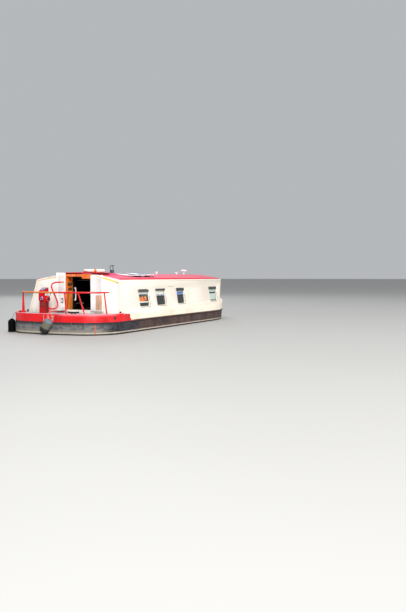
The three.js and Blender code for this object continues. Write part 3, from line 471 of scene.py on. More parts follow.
# %% Panels and joined shapes
def panel(u0, u1, v0, v1, low, high, corner, hole=0, finish=0, width=0.001):
    """A plate in the XY plane with rounded corners. hole is the width of the ring left round it."""
    bm = bmesh.new()
    bmesh.ops.create_grid(bm, x_segments=1, y_segments=1, size=0.5)
    bmesh.ops.scale(bm, verts=bm.verts, vec=(u1 - u0, v1 - v0, 1))
    bmesh.ops.translate(bm, verts=bm.verts, vec=((u0 + u1) / 2, (v0 + v1) / 2, low))
    bmesh.ops.bevel(
        bm,
        geom=bm.verts[:],
        offset=corner,
        offset_type="OFFSET",
        segments=5,
        profile=0.5,
        affect="VERTICES",
        clamp_overlap=True,
        material=-1,
    )
    if hole:
        middle = bm.faces[:]
        bmesh.ops.inset_region(bm, faces=middle, thickness=hole, use_even_offset=True)
        bmesh.ops.delete(bm, geom=middle, context="FACES_ONLY")
    bmesh.ops.solidify(bm, geom=bm.faces[:], thickness=high - low)
    bmesh.ops.recalc_face_normals(bm, faces=bm.faces)
    heights = [v.co.z for v in bm.verts]
    bmesh.ops.translate(bm, verts=bm.verts, vec=(0, 0, (low + high - max(heights) - min(heights)) / 2))
    if width:
        ease(bm, width, 50)
    return tinted(bm, finish)


def joined(*shapes):
    """One bmesh of several, which are used up."""
    whole = bmesh.new()
    for shape in shapes:
        spare = bpy.data.meshes.new("spare")
        shape.to_mesh(spare)
        shape.free()
        whole.from_mesh(spare)
        bpy.data.meshes.remove(spare)
    return whole


# %% [markdown]
# ## The floor and the light
#
# The boat floats, so the pale floor lies at the waterline. A plain plane would show through the cabin,
# so the floor has a hole that follows the hull: the hull's outermost cut at that height is filled
# together with a wide circle. The light is a large soft lamp high behind the stern quarter, with a
# wide one over the roof, weaker ones on both sides and an even sky.

# %% Floor
floor_bm = merged("hull")
whole = floor_bm.verts[:] + floor_bm.edges[:] + floor_bm.faces[:]
bmesh.ops.bisect_plane(
    floor_bm,
    geom=whole,
    plane_co=(0, 0, WATERLINE),
    plane_no=(0, 0, 1),
    clear_inner=True,
    clear_outer=True,
)
bmesh.ops.delete(floor_bm, geom=floor_bm.faces[:], context="FACES_ONLY")
loops = []
unseen = set(floor_bm.verts)
while unseen:
    reach = [unseen.pop()]
    for vert in reach:
        for edge in vert.link_edges:
            other = edge.other_vert(vert)
            if other in unseen:
                unseen.remove(other)
                reach.append(other)
    loops.append(reach)
outline = max(loops, key=lambda loop: max(v.co.x for v in loop) - min(v.co.x for v in loop))
bmesh.ops.delete(floor_bm, geom=[v for v in floor_bm.verts if v not in set(outline)], context="VERTS")
for vert in floor_bm.verts:
    vert.co.z = WATERLINE
circle = bmesh.ops.create_circle(floor_bm, cap_ends=False, segments=64, radius=400)
bmesh.ops.translate(floor_bm, verts=circle["verts"], vec=(0, 0, WATERLINE))
bmesh.ops.triangle_fill(floor_bm, edges=floor_bm.edges[:], use_beauty=True)
for face in floor_bm.faces:
    if face.normal.z < 0:
        face.normal_flip()

pale_floor = Finish("pale_floor")
cloud = pale_floor.noise(0.15, 2)
pale_floor.paint(pale_floor.mix("b6b6b3", "b0b0ae", cloud), 0.7)
floor_mesh = bpy.data.meshes.new("floor")
floor_bm.to_mesh(floor_mesh)
floor_bm.free()
floor_mesh.materials.append(pale_floor.material)
floor = bpy.data.objects.new("floor", floor_mesh)
bpy.context.scene.collection.objects.link(floor)
print("floor:", len(floor_mesh.polygons), "faces round the hull")


# %% Lights
def lamp(name, spot, target, size, power, tint):
    """A round lamp of this size at a spot, aimed at a target."""
    data = bpy.data.lights.new(name, "AREA")
    data.shape = "DISK"
    data.size = size
    data.energy = power
    data.color = tint
    light = bpy.data.objects.new(name, data)
    light.location = spot
    light.rotation_euler = (Vector(target) - Vector(spot)).to_track_quat("-Z", "Y").to_euler()
    bpy.context.scene.collection.objects.link(light)


lamp("key", (-36, -22, 23), (-3, 0, 1.5), 12, 16500, (1, 0.98, 0.96))
lamp("side", (2, -50, 15), (1, 0, 1.5), 20, 6800, (1, 0.96, 0.92))
lamp("top", (4, -6, 44), (3, 0, 1.5), 20, 5600, (1, 0.98, 0.97))
lamp("rim", (26, 24, 20), (2, 0, 1.5), 16, 2600, (0.95, 0.97, 1))

sky = bpy.data.worlds.new("sky")
sky.use_nodes = True
glow = sky.node_tree.nodes["Background"].inputs
glow["Color"].default_value = (0.93, 0.96, 1, 1)
glow["Strength"].default_value = 0.5
bpy.context.scene.world = sky
print("lights:", len(bpy.data.lights), "lamps and the sky")

# %% [markdown]
# ## Hull paint
#
# The hull is blacked with bitumen below the rubbing strake and weathered: stone grey round the stern,
# blue-black on the quarter with pale specks of painted highlight, and purple-brown along the side, with
# painted shade under the strake, a pale tide line and a dark band at the waterline that is wet steel
# with painted shade. Above the strake it is red round the stern and cream beside the cabin, with a thin
# ochre line between cream and black, and painted highlights along the top of the red. Separate meshes
# could hold the bands, but paint has no edge that stands out, so all of it is one finish that reads
# height and station, and the bands keep their places on the copy of the solid. The faces inside the
# hull are lined with boards.

# %% Hull below the strake
hull_paint = Finish("hull_paint", IOR=1.45)
x, y, z = hull_paint.x, hull_paint.y, hull_paint.z
streaks = hull_paint.noise(3.2, 4, (1, 1, 0.08))
blotches = hull_paint.noise(1.6, 6)
patches = hull_paint.noise(5, 5, (1, 1, 1.6), 0.6)
specks = hull_paint.noise(38, 2)
grain = hull_paint.noise(14, 6, (0.5, 0.5, 1))
stern_grey = hull_paint.coats(
    hull_paint.mix("55565a", "7f7e7c", (patches * 0.6 + grain * 0.4).fade(0.38, 0.64)),
    ("8c877c", z.fade(0.82, 0.72) * (0.45 + grain * 0.5)),
    ("34353b", z.fade(0.86, 0.97) * (0.4 + grain * 0.7).clamp()),
)
quarter_black = hull_paint.mix("1d1f26", "3c3c44", patches.fade(0.4, 0.68))
# pale specks on the blue-black quarter: painted highlights
quarter_black = hull_paint.mix(quarter_black, "8d8f94", specks.fade(0.7, 0.78) * 0.6)
side_brown = hull_paint.coats(
    hull_paint.mix("3d2d2b", "5c4642", (streaks * 0.5 + grain * 0.5).fade(0.38, 0.66)),
    ("2a2022", blotches.fade(0.52, 0.7) * 0.7),
    ("8a7a74", specks.fade(0.68, 0.78) * 0.45),
)
on_quarter = (x - y * 0.35).fade(at(900), at(1500)) * y.fade(0.2, -0.4)
# painted shade under the rubbing strake
shade_under_strake = z.fade(STRAKE - 0.075, STRAKE - 0.02)
runs = hull_paint.noise(9, 2, (1, 1, 0.02)).fade(0.62, 0.74) * z.fade(0.66, 0.95)
tide = (z + (patches - 0.5) * 0.03).band(WATERLINE + 0.055, WATERLINE + 0.09, 0.012)
# dark band at the waterline: wet steel with painted shade
wet_and_shade = z.fade(WATERLINE + 0.055, WATERLINE + 0.03)
rust = x.band(at(304), at(326), 0.005) * z.band(0.63, 0.93, 0.02) * y.fade(-0.5, -1)
lower = hull_paint.coats(
    hull_paint.mix(stern_grey, quarter_black, on_quarter),
    (side_brown, x.fade(at(1800), at(2900))),
    ("1d1c1f", shade_under_strake * (0.55 + patches * 0.5).clamp()),
    ("a5a39e", runs * x.fade(at(3200), at(1500)) * 0.4),
    ("c9bfae", tide * 0.85),
    ("17140f", wet_and_shade * 0.85),
    ("c4602a", rust * (streaks + 0.35).clamp()),
)
print("paint below the strake:", len(hull_paint.tree.nodes), "nodes")

# %% Hull above the strake
RED_ENDS = at(1750)
# painted highlight along the top of the red band on the starboard quarter
highlight_on_quarter = z.fade(DECK - 0.045, DECK + 0.01) * y.fade(-0.25, -0.6) * x.fade(at(1150), at(800))
rubbed = y.band(-0.17, 0.06, 0.05) * x.fade(at(120), at(60)) * grain.fade(0.42, 0.6)
red = hull_paint.coats(
    hull_paint.mix("e0131c", "b80d17", blotches.fade(0.5, 0.72)),
    ("f0525a", streaks.fade(0.58, 0.8) * 0.4),
    # painted highlight on the toe rail's top
    ("f3a6b4", z.fade(DECK + 0.026, DECK + 0.036) * (0.35 + patches * 0.8).clamp()),
    ("f08d9a", highlight_on_quarter * (0.35 + grain * 0.6).clamp()),
    ("f4b3ac", rubbed * 0.75),
)
cream = hull_paint.mix("faf0df", "eedfc6", blotches.fade(0.46, 0.72))
ragged = x + (grain - 0.5) * 0.12 - z.fade(1.16, 1.04) * 0.09
past_red = ragged.fade(RED_ENDS - 0.01, RED_ENDS + 0.01)
topside = hull_paint.mix(red, cream, past_red)
line_tone = hull_paint.mix("8d6440", "e8932c", x.fade(at(2300), at(1950)) + x.fade(at(11300), at(11600)))
topside = hull_paint.mix(topside, line_tone, z.band(STRAKE + 0.012, STRAKE + 0.036) * past_red)
above = z.fade(STRAKE + 0.006, STRAKE + 0.012)
hull_paint.paint(
    hull_paint.mix(lower, topside, above),
    0.7 - above * 0.32 + (specks - 0.5) * 0.2,
    blotches * 0.6 + specks * 0.15 * (1 - above),
    0.006,
)
print("whole hull paint:", len(hull_paint.tree.nodes), "nodes")

# %% Hull and its lining
board = two_tone(
    "lining_board", ("4a2c18", "2d190d"), (7, 4, (0.15, 1, 1)), (0.35, 0.7), (0.5, 0.15), 0.002
)


def inside_hull(middle, normal):
    """1 for a face that looks into the boat."""
    spine = Vector((min(max(middle.x, -4.9), 3.0), 0, middle.z))
    if abs(normal.z) > 0.7:
        return int(normal.z > 0 and middle.z < 1.2)
    return int(normal.dot(middle - spine) < 0 and middle.z < 1.2)


dress("hull", hull_paint, board, width=0.004, choose=inside_hull, sharp=22)

# %% [markdown]
# ## Cabin paint
#
# The cabin sides are warm cream, slightly uneven, with the faint upright joints of the panels under
# the paint and a soft dirt line near the gunwale. The aft bulkhead is whiter, with a yellow coach line
# a hand's breadth below the roof edge and an ochre one down its corner. The lines could be thin strips
# of mesh, but they are paint too, so formulas of place draw them. The reveal of the doorway and its
# sill are varnished.

# %% Cabin sides
cabin_paint = Finish("cabin_cream", IOR=1.45)
mottle = cabin_paint.noise(0.9, 4)
dust = cabin_paint.noise(6, 4, (1, 1, 0.3))
seam = abs((cabin_paint.x + 0.35) % 1.22 - 0.61).fade(0.004, 0.0)
tone = cabin_paint.mix("f4ebde", "eee2d2", mottle.fade(0.45, 0.75))
grime = cabin_paint.z.fade(DECK + 0.16, DECK) * dust.fade(0.5, 0.7)
stroke = cabin_paint.z.band(2.106, 2.13, 0.008) * cabin_paint.x.band(at(4974), at(5482), 0.08)
stroke = stroke * cabin_paint.y.fade(-1, -1.2) * (0.4 + dust * 0.7).clamp()
tone = cabin_paint.coats(tone, ("cbbd9f", grime * 0.3 + seam * 0.35), ("b08a62", stroke))
cabin_paint.paint(tone, 0.34 + dust * 0.16, mottle - seam * 0.5, 0.003)

# the lining's brown is darkened nearly to black: painted shade for the dim inside of the cabin
lining = two_tone(
    "cabin_lining", ("2c1709", "190c05"), (5, 5, (0.12, 1, 1), 0.4), (0.35, 0.7), (0.6, 0), 0.001
)


def inboard(middle, normal):
    """1 for a face of a cabin side that looks inboard."""
    return int(normal.y * middle.y < 0 and abs(normal.y) > 0.5)


for side in ("port", "starboard"):
    dress(f"cabin_side_{side}", cabin_paint, lining, width=0.004, choose=inboard)

# %% Varnish
GLOSS = {"Coat_Weight": 0.5, "Coat_Roughness": 0.15}
varnish = Finish("varnished_wood", **GLOSS)
rings = varnish.noise(9, 5, (1, 1, 0.1), 0.6)
oiled = varnish.mix("f5822c", "d8601a", rings.fade(0.36, 0.7))
# painted shadow: near black at the top of the hung board, under the hatch lid
shadow_under_lid = varnish.z.fade(2.583, 2.589)
varnish.paint(varnish.mix(oiled, "140a06", shadow_under_lid), 0.32 + rings * 0.12, rings, 0.0006)

edge_varnish = two_tone(
    "yellow_varnish", ("f5a42c", "dc8420"), (14, 4, (1, 0.2, 1)), rough=(0.35, 0.1), **GLOSS
)

# The companionway's wood is brightened as painted light, and further in it turns near black as painted
# shade.
companion_wood = Finish("companion_wood", Coat_Weight=0.4, Coat_Roughness=0.2)
swirl = companion_wood.noise(9, 5, (1, 1, 0.1), 0.6)
lit_wood = companion_wood.mix("ffa04e", "f07c2e", swirl.fade(0.36, 0.7))
deep = companion_wood.x.fade(at(1690), at(1730))
companion_wood.paint(companion_wood.mix(lit_wood, "0d0806", deep), 0.35 + deep * 0.3, swirl, 0.0006)
print("varnishes:", *(wood.material.name for wood in (varnish, edge_varnish, companion_wood)))

# %% Aft bulkhead
bulkhead_white = Finish("cabin_white", IOR=1.45)
across, height = bulkhead_white.y, bulkhead_white.z
patch = bulkhead_white.noise(1.4, 4)
wipe = bulkhead_white.noise(9, 3, (1, 1, 0.25))
tone = bulkhead_white.mix("f8f5ed", "ede8dc", patch.fade(0.45, 0.75))
# The roof's edge is a shallow arch: its crown, its drop towards the side and the half width there.
CROWN, ARCH, ARCH_HALF = 2.599, 0.209, 1.75
drop = CROWN - ARCH * (across / ARCH_HALF) ** 2 - height
outboard = abs(across + 0.255).fade(0.62, 0.66)
corner = CABIN_HALF - LEAN * (height - DECK) - abs(across)
on_port_half = across.fade(-0.1, 0.1)
port_drop = (0.08 - across * 0.025) * on_port_half
line_drop = port_drop - (0.031 + across * 0.09) * across.fade(0.1, -0.1)
below_line = drop - line_drop
yellow = bulkhead_white.mix("f6c63c", "f09a2c", abs(across).fade(1.45, 1.72))
ochre = bulkhead_white.mix("e6d2a6", "ecb44e", height.fade(1.6, 2.35))
foot = height.fade(DECK + 0.14, DECK) * wipe.fade(0.4, 0.7)
tone = bulkhead_white.coats(
    tone,
    (yellow, abs(below_line).fade(0.031, 0.024) * outboard),
    (ochre, corner.fade(0.075, 0.065) * below_line.fade(0, 0.02) * 0.85),
    ("c4bba6", foot * 0.6),
)
bulkhead_white.paint(tone, 0.34 + wipe * 0.14, patch, 0.003)

DOOR_PORT, DOOR_STARBOARD, SILL = 0.275, -0.785, 1.36


def bulkhead_faces(middle, normal):
    """1 inside the cabin, 2 on the doorway's reveal and sill."""
    in_door = DOOR_STARBOARD - 0.01 < middle.y < DOOR_PORT + 0.01
    if in_door and abs(normal.y) > 0.7 and middle.z > SILL:
        return 2
    if in_door and normal.z > 0.7 and abs(middle.z - SILL) < 0.01:
        return 2
    return int(normal.x > 0.7 and not in_door)


dress("aft_bulkhead", bulkhead_white, lining, varnish, width=0.003, choose=bulkhead_faces)
dress("companionway_lining", companion_wood, width=0.002)

# %% [markdown]
# ## Doors and the front end
#
# The rear doors are plain white leaves that stand open, their white brightened as painted light. The
# long one has a steel lock case, and the short one a tan lining panel with a grey strip down it, both
# partly painted shade, and the end of the coach line across its top.
# A leaf stands at an angle, so its fittings could be turned by measured angles. Here they are built
# flat, in a frame that is read from the leaf's own largest face, and then moved onto it.


# %% Door leaves
def face_frame(node, side):
    """The frame of the largest upright face that looks towards side: x along it, y up, z out of it."""
    bm = merged(node)
    bm.normal_update()
    seen = [f for f in bm.faces if f.normal.dot(Vector(side)) > 0.5 and abs(f.normal.z) < 0.1]
    face = max(seen, key=lambda f: f.calc_area())
    normal = face.normal.copy()
    centre = face.calc_center_bounds()
    bm.free()
    along = Vector((0, 0, 1)).cross(normal).normalized()
    return Matrix.Translation(centre) @ Matrix((along, Vector((0, 0, 1)), normal)).transposed().to_4x4()


def wood_inside(middle, normal):
    """1 for a face that looks aft, into the cabin."""
    return int(normal.x < -0.7)


# the leaves' white is brighter than the bulkhead's: painted light for their turn away from the lamps
leaf_white = Finish("leaf_white", IOR=1.45)
smudge = leaf_white.noise(3, 4)
tone = leaf_white.mix("ffffff", "f6f1e6", smudge.fade(0.5, 0.78))
rising = leaf_white.z - leaf_white.y * 0.17
leaf_line = abs(rising - 2.7007).fade(0.015, 0.01) * leaf_white.y.fade(-1.08, -1.11)
leaf_white.paint(leaf_white.mix(tone, "f6c048", leaf_line), 0.34 + smudge * 0.14, smudge, 0.002)

for side in ("port", "starboard"):
    dress(f"rear_door_{side}", leaf_white, width=0.003)
    dress(f"front_door_{side}", cabin_paint, lining, width=0.003, choose=wood_inside)
dress("front_bulkhead", cabin_paint, lining, width=0.003, choose=wood_inside)

# %% Door fittings
steel = two_tone(
    "brushed_steel", ("b9bec2", "8d9296"), (60, 3, (1, 1, 0.1)), rough=(0.3, 0.15), Metallic=0.8
)
tan = two_tone(
    "tan_panel", ("f0bf98", "e0a47a"), (8, 4, (1, 1, 0.15), 0.3), (0.35, 0.7), (0.4, 0.1), Coat_Weight=0.2
)
grey_shade_strip = two_tone("grey_shade_strip", ("cfc4bb", "b3aaa4"), (16, 4), rough=(0.5, 0.2))
hinge_iron = two_tone(
    "hinge_iron", ("2a2522", "4f4038"), (70, 3), (0.5, 0.75), (0.5, 0.2), 0.0005, Metallic=0.3
)

port_leaf = face_frame("rear_door_port", (0, -1, 0))
keyhole_disc = [(0, 0.006), (0.017, 0.006), (0.017, 0.014), (0.012, 0.018), (0, 0.018)]
lock = joined(
    panel(-0.075, 0.075, -0.085, 0.085, 0, 0.007, 0.012, width=0.002),
    panel(-0.055, 0.03, -0.06, 0.06, 0.006, 0.011, 0.01, finish=2, width=0.001),
    turned(keyhole_disc, (0, 0.035, 0), 1, steps=20),
    block((-0.006, -0.055, 0.005), (0.006, -0.03, 0.0085), 1, 0.001),
    block((-0.008, 0.027, 0.014), (0.045, 0.043, 0.024), 0, 0.004),
)
moved(lock, place((at(1060), port_leaf.translation.y, 1.685)) @ port_leaf.to_3x3().to_4x4())
keep("rear_door_lock", lock, [steel, hinge_iron, bulkhead_white], "door_rear_port")

starboard_leaf = face_frame("rear_door_starboard", (-1, 0.3, 0))
# the short leaf's low panel: tan lining with a grey strip, partly painted shade
low_panel = joined(
    panel(-0.03, 0.27, -0.58, -0.07, 0, 0.006, 0.006, finish=0, width=0.0015),
    panel(0.085, 0.125, -0.57, -0.08, 0.005, 0.009, 0.003, finish=1, width=0.0015),
)
keep("rear_door_panel", moved(low_panel, starboard_leaf), [tan, grey_shade_strip], "door_rear_starboard")

barrel_profile = [(0, -0.05), (0.009, -0.05), (0.009, 0.05), (0, 0.05)]
for side, edge in (("port", 0.289), ("starboard", -0.799)):
    barrels = [turned(barrel_profile, (at(1283.7), edge, h), steps=14) for h in (1.52, 1.95, 2.38)]
    keep(f"rear_hinges_{side}", joined(*barrels), [hinge_iron], f"door_rear_{side}")

# %% [markdown]
# ## Windows
#
# Each window is a white frame round a rounded opening. Its upper third is a hopper behind a bar, whose
# tone at each window is a painted reflection, and its glass lies deep, so that the forward reveal shows
# as a pale upright. A dark strip across the frame's head is painted shadow, and thin dark strips along
# its forward and lower edges are a sealant line with painted shade. A boolean could cut the window out
# of the leaning wall, but the solid has its opening already, so a window is made flat, with x along the
# side, y up and z out of the wall, and then sheared onto the cabin side. What is seen through the glass
# stands for the dim inside: a board with soft pale and coloured bands, and an orange cloth behind the
# first window, from a table with one row for each band.

# %% Window sizes and finishes
# aft end's station and length of each opening
WINDOWS = {1: (2730, 710), 2: (4000, 700), 3: (5680, 620), 4: (8760, 760)}
# heights of the openings' foot, head and hopper bar, and of the foot and top of each dark head strip, a
# painted shadow
LOW, HIGH, BAR = 1.45, 2.05, 1.81
HEAD_SHADOWS = {1: (1.955, 2.03), 2: (1.985, 2.052), 3: (1.943, 2.052), 4: (1.95, 2.06)}
RECESS = -0.05

frame_white = two_tone(
    "window_white", ("fbf7ee", "e9e3d5"), (12, 3), (0.45, 0.75), (0.3, 0.15), IOR=1.45
)
gasket = two_tone("window_gasket", ("1b1c1d", "3a3c3b"), (30, 3), (0.4, 0.75), (0.55, 0.2))
glass = Finish("window_glass", Roughness=0.05, Alpha=0.07, Specular_IOR_Level=0.25)
haze = glass.noise(3, 2)
glass.feed("Base Color", glass.mix("6f8380", "9fb0ad", haze))
glass.material.surface_render_method = "BLENDED"
print("windows on each side:", len(WINDOWS))


# %% Window shapes
def on_side(side):
    """Shears a flat shape onto the outer face of a cabin side."""
    sign = 1 if side == "port" else -1
    foot = sign * (CABIN_HALF + LEAN * DECK)
    return Matrix(((1, 0, 0, 0), (0, -sign * LEAN, sign, foot), (0, 1, 0, 0), (0, 0, 0, 1)))


def pane(u0, u1, margin, low, high, corner, hole=0, finish=0, width=0.001):
    """A panel in the window opening, this margin inside it."""
    return panel(
        u0 + margin, u1 - margin, LOW + margin, HIGH - margin, low, high, corner, hole, finish, width
    )


def window_frame(number, u0, u1):
    """The flat frame of one window with its gasket, bar, head strip of painted shadow, edge strips of
    sealant and painted shade, and latches.
    """
    shadow_low, shadow_high = HEAD_SHADOWS[number]
    latches = [
        block((u, BAR + 0.012, RECESS + 0.01), (u + 0.04, BAR + 0.034, RECESS + 0.026), 1, 0.002)
        for u in (u0 + 0.2, u1 - 0.24)
    ]
    return joined(
        pane(u0, u1, -0.026, 0.0004, 0.012, 0.07, 0.04, 0, 0.003),
        pane(u0, u1, 0.001, RECESS - 0.012, 0.002, 0.058, 0.011, 0, 0.001),
        pane(u0, u1, 0.01, RECESS, RECESS + 0.008, 0.05, 0.018, 1, 0.001),
        block((u0 + 0.014, BAR - 0.015, RECESS), (u1 - 0.014, BAR + 0.015, RECESS + 0.02), 2, 0.003),
        # dark head strip: painted shadow along the frame's head
        block((u0 - 0.02, shadow_low, 0.004), (u1 + 0.02, shadow_high, 0.015), 3, 0.002),
        # thin dark strips along the forward and lower edges: a sealant line with painted shade
        block((u1 + 0.021, LOW + 0.01, 0.004), (u1 + 0.029, BAR, 0.014), 1, 0.001),
        block((u0 + 0.01, LOW - 0.03, 0.0004), (u1 + 0.02, LOW - 0.02, 0.014), 1, 0.001),
        *latches,
    )


# %% Behind the glass
# each window's hopper bar gets its own tone: painted reflection on the metal
BAR_REFLECTION_TONES = {1: "6d706e", 2: "a9b0cc", 3: "7fa2dc", 4: "1d322d"}
# tones of the dark head strips, which are painted shadow
HEAD_SHADOW_TONES = {1: "4d544f", 2: "453c38", 3: "3b3540", 4: "4b4b49"}
# low, high, tone of each band behind the glass
BANDS = {
    1: [(1.87, 1.96, "ffffff"), (1.57, 1.615, "fffdf4")],
    2: [(1.83, 1.99, "fbfff0")],
    3: [(1.9, 1.945, "f4fbff"), (1.795, 1.895, "5c8de0")],
    4: [(1.82, 1.99, "e4f4ef"), (1.5, 1.765, "d3e6df"), (1.45, 1.5, "8a8a88")],
}


def behind_glass(number, u0):
    """The dim inside of the cabin with the bands of one window."""
    view = Finish(f"inside_window_{number}", Roughness=0.6)
    murk = view.noise(6, 3, (1, 1, 0.6))
    fold = view.noise(5, 3, (2.2, 1, 0.5), 0.5)
    tone = view.mix("030304", "141311", murk.fade(0.42, 0.72))
    if number == 1:
        slope = view.z - (view.x - u0) * 0.12
        cloth = slope.band(1.58, 1.75, 0.012) * (view.x - u0).band(0.06, 0.62, 0.02)
        orange = view.mix("ff8a2a", "b0340c", fold.fade(0.45, 0.68))
        tone = view.mix(tone, view.mix(orange, "ffd27a", murk.fade(0.56, 0.68)), cloth)
    for low, high, band_tone in BANDS[number]:
        tone = view.mix(tone, band_tone, view.z.band(low, high, 0.006) * (0.82 + fold * 0.3).clamp())
    view.feed("Base Color", tone)
    return view


# %% Windows in their places
for number, (aft, length) in WINDOWS.items():
    u0, u1 = at(aft), at(aft + length)
    bar = two_tone(f"hopper_bar_{number}", (BAR_REFLECTION_TONES[number], BAR_REFLECTION_TONES[number]))
    # the head strip's finish: painted shadow
    top = two_tone(f"head_shadow_{number}", (HEAD_SHADOW_TONES[number], "2e2f2f"))
    view = behind_glass(number, u0)
    for side in ("port", "starboard"):
        behind = joined(
            pane(u0, u1, 0.012, RECESS - 0.011, RECESS - 0.006, 0.04),
            pane(u0, u1, 0.004, RECESS - 0.016, RECESS - 0.0115, 0.05, finish=1),
        )
        shapes = {
            "frame": (window_frame(number, u0, u1), [frame_white, gasket, bar, top]),
            "pane": (pane(u0, u1, 0.02, RECESS + 0.001, RECESS + 0.004, 0.04, width=0), [glass]),
            "inside": (behind, [view, lining]),
        }
        for part, (shape, finishes) in shapes.items():
            moved(shape, on_side(side))
            if side == "port":
                bmesh.ops.reverse_faces(shape, faces=shape.faces)
            stands_for = [f"window_{side}_{number}"] if part == "frame" else []
            keep(f"window_{part}_{side}_{number}", shape, finishes, replaces=stands_for)

# %% [markdown]
# ## Roof paint
#
# The roof's red has faded to a dusty pink that is palest over the middle, and stays strong along the
# upstand at its edge. The edge itself is a pale lip, as is the aft edge over the bulkhead. Under the
# solar panels it is painted near black as painted shadow. A gradient texture could carry the fading,
# but fades of height and station keep it to the real places.

# %% Roof
roof_paint = Finish("roof_red", IOR=1.45, Specular_IOR_Level=0.25)
faded = roof_paint.noise(0.7, 5)
scuff = roof_paint.noise(12, 4)
across_roof = abs(roof_paint.y)
# painted shadow: the roof under the solar panels goes near black
shadow_under_panels = roof_paint.x.band(at(3350), at(3860), 0.12) + roof_paint.x.band(at(3990), at(4730), 0.03)
tone = roof_paint.coats(
    roof_paint.mix("f3607d", "e85573", faded.fade(0.38, 0.68)),
    ("e47086", roof_paint.x.fade(at(3300), at(6200)) * 0.9),
    ("2a0a10", shadow_under_panels * roof_paint.y.band(-1.36, -0.62, 0.03) * 0.95),
    ("c41f3c", across_roof.fade(1.62, 1.7)),
    ("e89aab", scuff.fade(0.6, 0.78) * 0.35),
    ("fbf3ea", across_roof.fade(1.738, 1.744)),
)
roof_paint.paint(tone, 0.5 + scuff * 0.2, faded + scuff * 0.2, 0.003)

lip_paint = two_tone("roof_lip", ("f6eef0", "e2cfd6"), (7, 4), rough=(0.4, 0.1), IOR=1.45)


def roof_faces(middle, normal):
    """1 for the ceiling, 2 for the aft edge, 0 for the rest."""
    if normal.z < -0.7:
        return 1
    return 2 if normal.x < -0.6 else 0


dress("cabin_roof", roof_paint, lining, lip_paint, width=0.004, choose=roof_faces, sharp=25)

# %% [markdown]
# ## Red steelwork
#
# The rail, tiller and bow deck share one gloss red, with thin spots that show pink primer and a little
# dulling where hands and feet rub. The pedestal and the hatch are a darker, flatter red, darkened as
# painted shade. The rail could be the dressed solid, but its port half is orange-brown on top, worn
# paint with a painted highlight, its underside is darkened as painted shade, and a smooth round shows
# that better, so it is drawn again as tubes along the solid's own line.


# %% Red finishes and bow deck
def chipped_red(name, tones, primer, chipped, rough, **fixed):
    """Red paint in two tones. chipped is the noise's reach and strength where the primer shows."""
    paint = Finish(name, **fixed)
    wear = paint.noise(4, 4)
    chips = paint.noise(45, 3)
    low, high, strength = chipped
    tone = paint.mix(*tones, wear.fade(0.42, 0.72))
    tone = paint.mix(tone, primer, chips.fade(low, high) * strength)
    paint.paint(tone, rough[0] + chips * rough[1], chips, 0.0006)
    return paint


REDS = ("e6121d", "c00c17")
red_gloss = chipped_red("red_gloss", REDS, "f0767d", (0.68, 0.76, 0.5), (0.26, 0.18), IOR=1.48)
# a darker copy of the red for the pedestal and the hatch lid: painted shade
shaded_red = chipped_red(
    "shaded_red", ("cc101a", "a80b14"), "d9686e", (0.7, 0.78, 0.4), (0.35, 0.15), Specular_IOR_Level=0.25
)

for node in ("bow_deck", "bow_locker_lid"):
    dress(node, red_gloss, width=0.002)

# %% Hatch, its runners and the handrails
runner_paint = Finish("runner_paint")
smear = runner_paint.noise(9, 4, (0.3, 1, 1))
tone = runner_paint.coats(
    runner_paint.mix("a8122c", "7c0c20", smear.fade(0.4, 0.7)),
    # painted shadow under the hatch lid: near black above the flange
    ("120709", runner_paint.z.fade(2.578, 2.586)),
    ("ee5a7e", runner_paint.x.fade(at(2352), at(2362))),
)
runner_paint.paint(tone, 0.45 + smear * 0.2, smear, 0.0008)
for side in ("port", "starboard"):
    dress(f"hatch_runner_{side}", runner_paint, width=0.002)
for side in ("port", "starboard"):
    dress(f"roof_handrail_{side}", red_gloss, width=0.004)


def hatch_faces(middle, normal):
    """1 for the hung board's faces, 2 for its lower edges."""
    if middle.x > at(1384) or middle.z > 2.6:
        return 0
    return 2 if normal.z < -0.7 and middle.z < 2.52 else 1


dress("hatch_lid", shaded_red, varnish, edge_varnish, width=0.002, choose=hatch_faces)

# %% Stern rail
rail_red = Finish("rail_red", IOR=1.48)
rub = rail_red.noise(6, 4)
on_port = rail_red.y.fade(-0.35, 0.1)
# the port half's orange-brown top: worn paint with a painted highlight; below it, painted shade
worn_and_lit_top = on_port * rail_red.z.fade(1.972, 1.98) * (0.7 + rub * 0.6).clamp()
shaded_side = rail_red.z.fade(1.972, 1.966) * rail_red.z.fade(1.9, 1.955)
tone = rail_red.coats(
    rail_red.mix(*REDS, rub.fade(0.42, 0.72)),
    ("4a1710", shaded_side * (0.5 + on_port * 0.45)),
    ("e8913c", worn_and_lit_top * 0.9),
)
rail_red.paint(tone, 0.28 + worn_and_lit_top * 0.3, rub, 0.0006)

# station, y of the top tube
RAIL_LINE = [
    (920, 1800), (450, 1400), (200, 960), (140, 0), (220, -1000), (480, -1510), (700, -1700), (895, -1740),
]
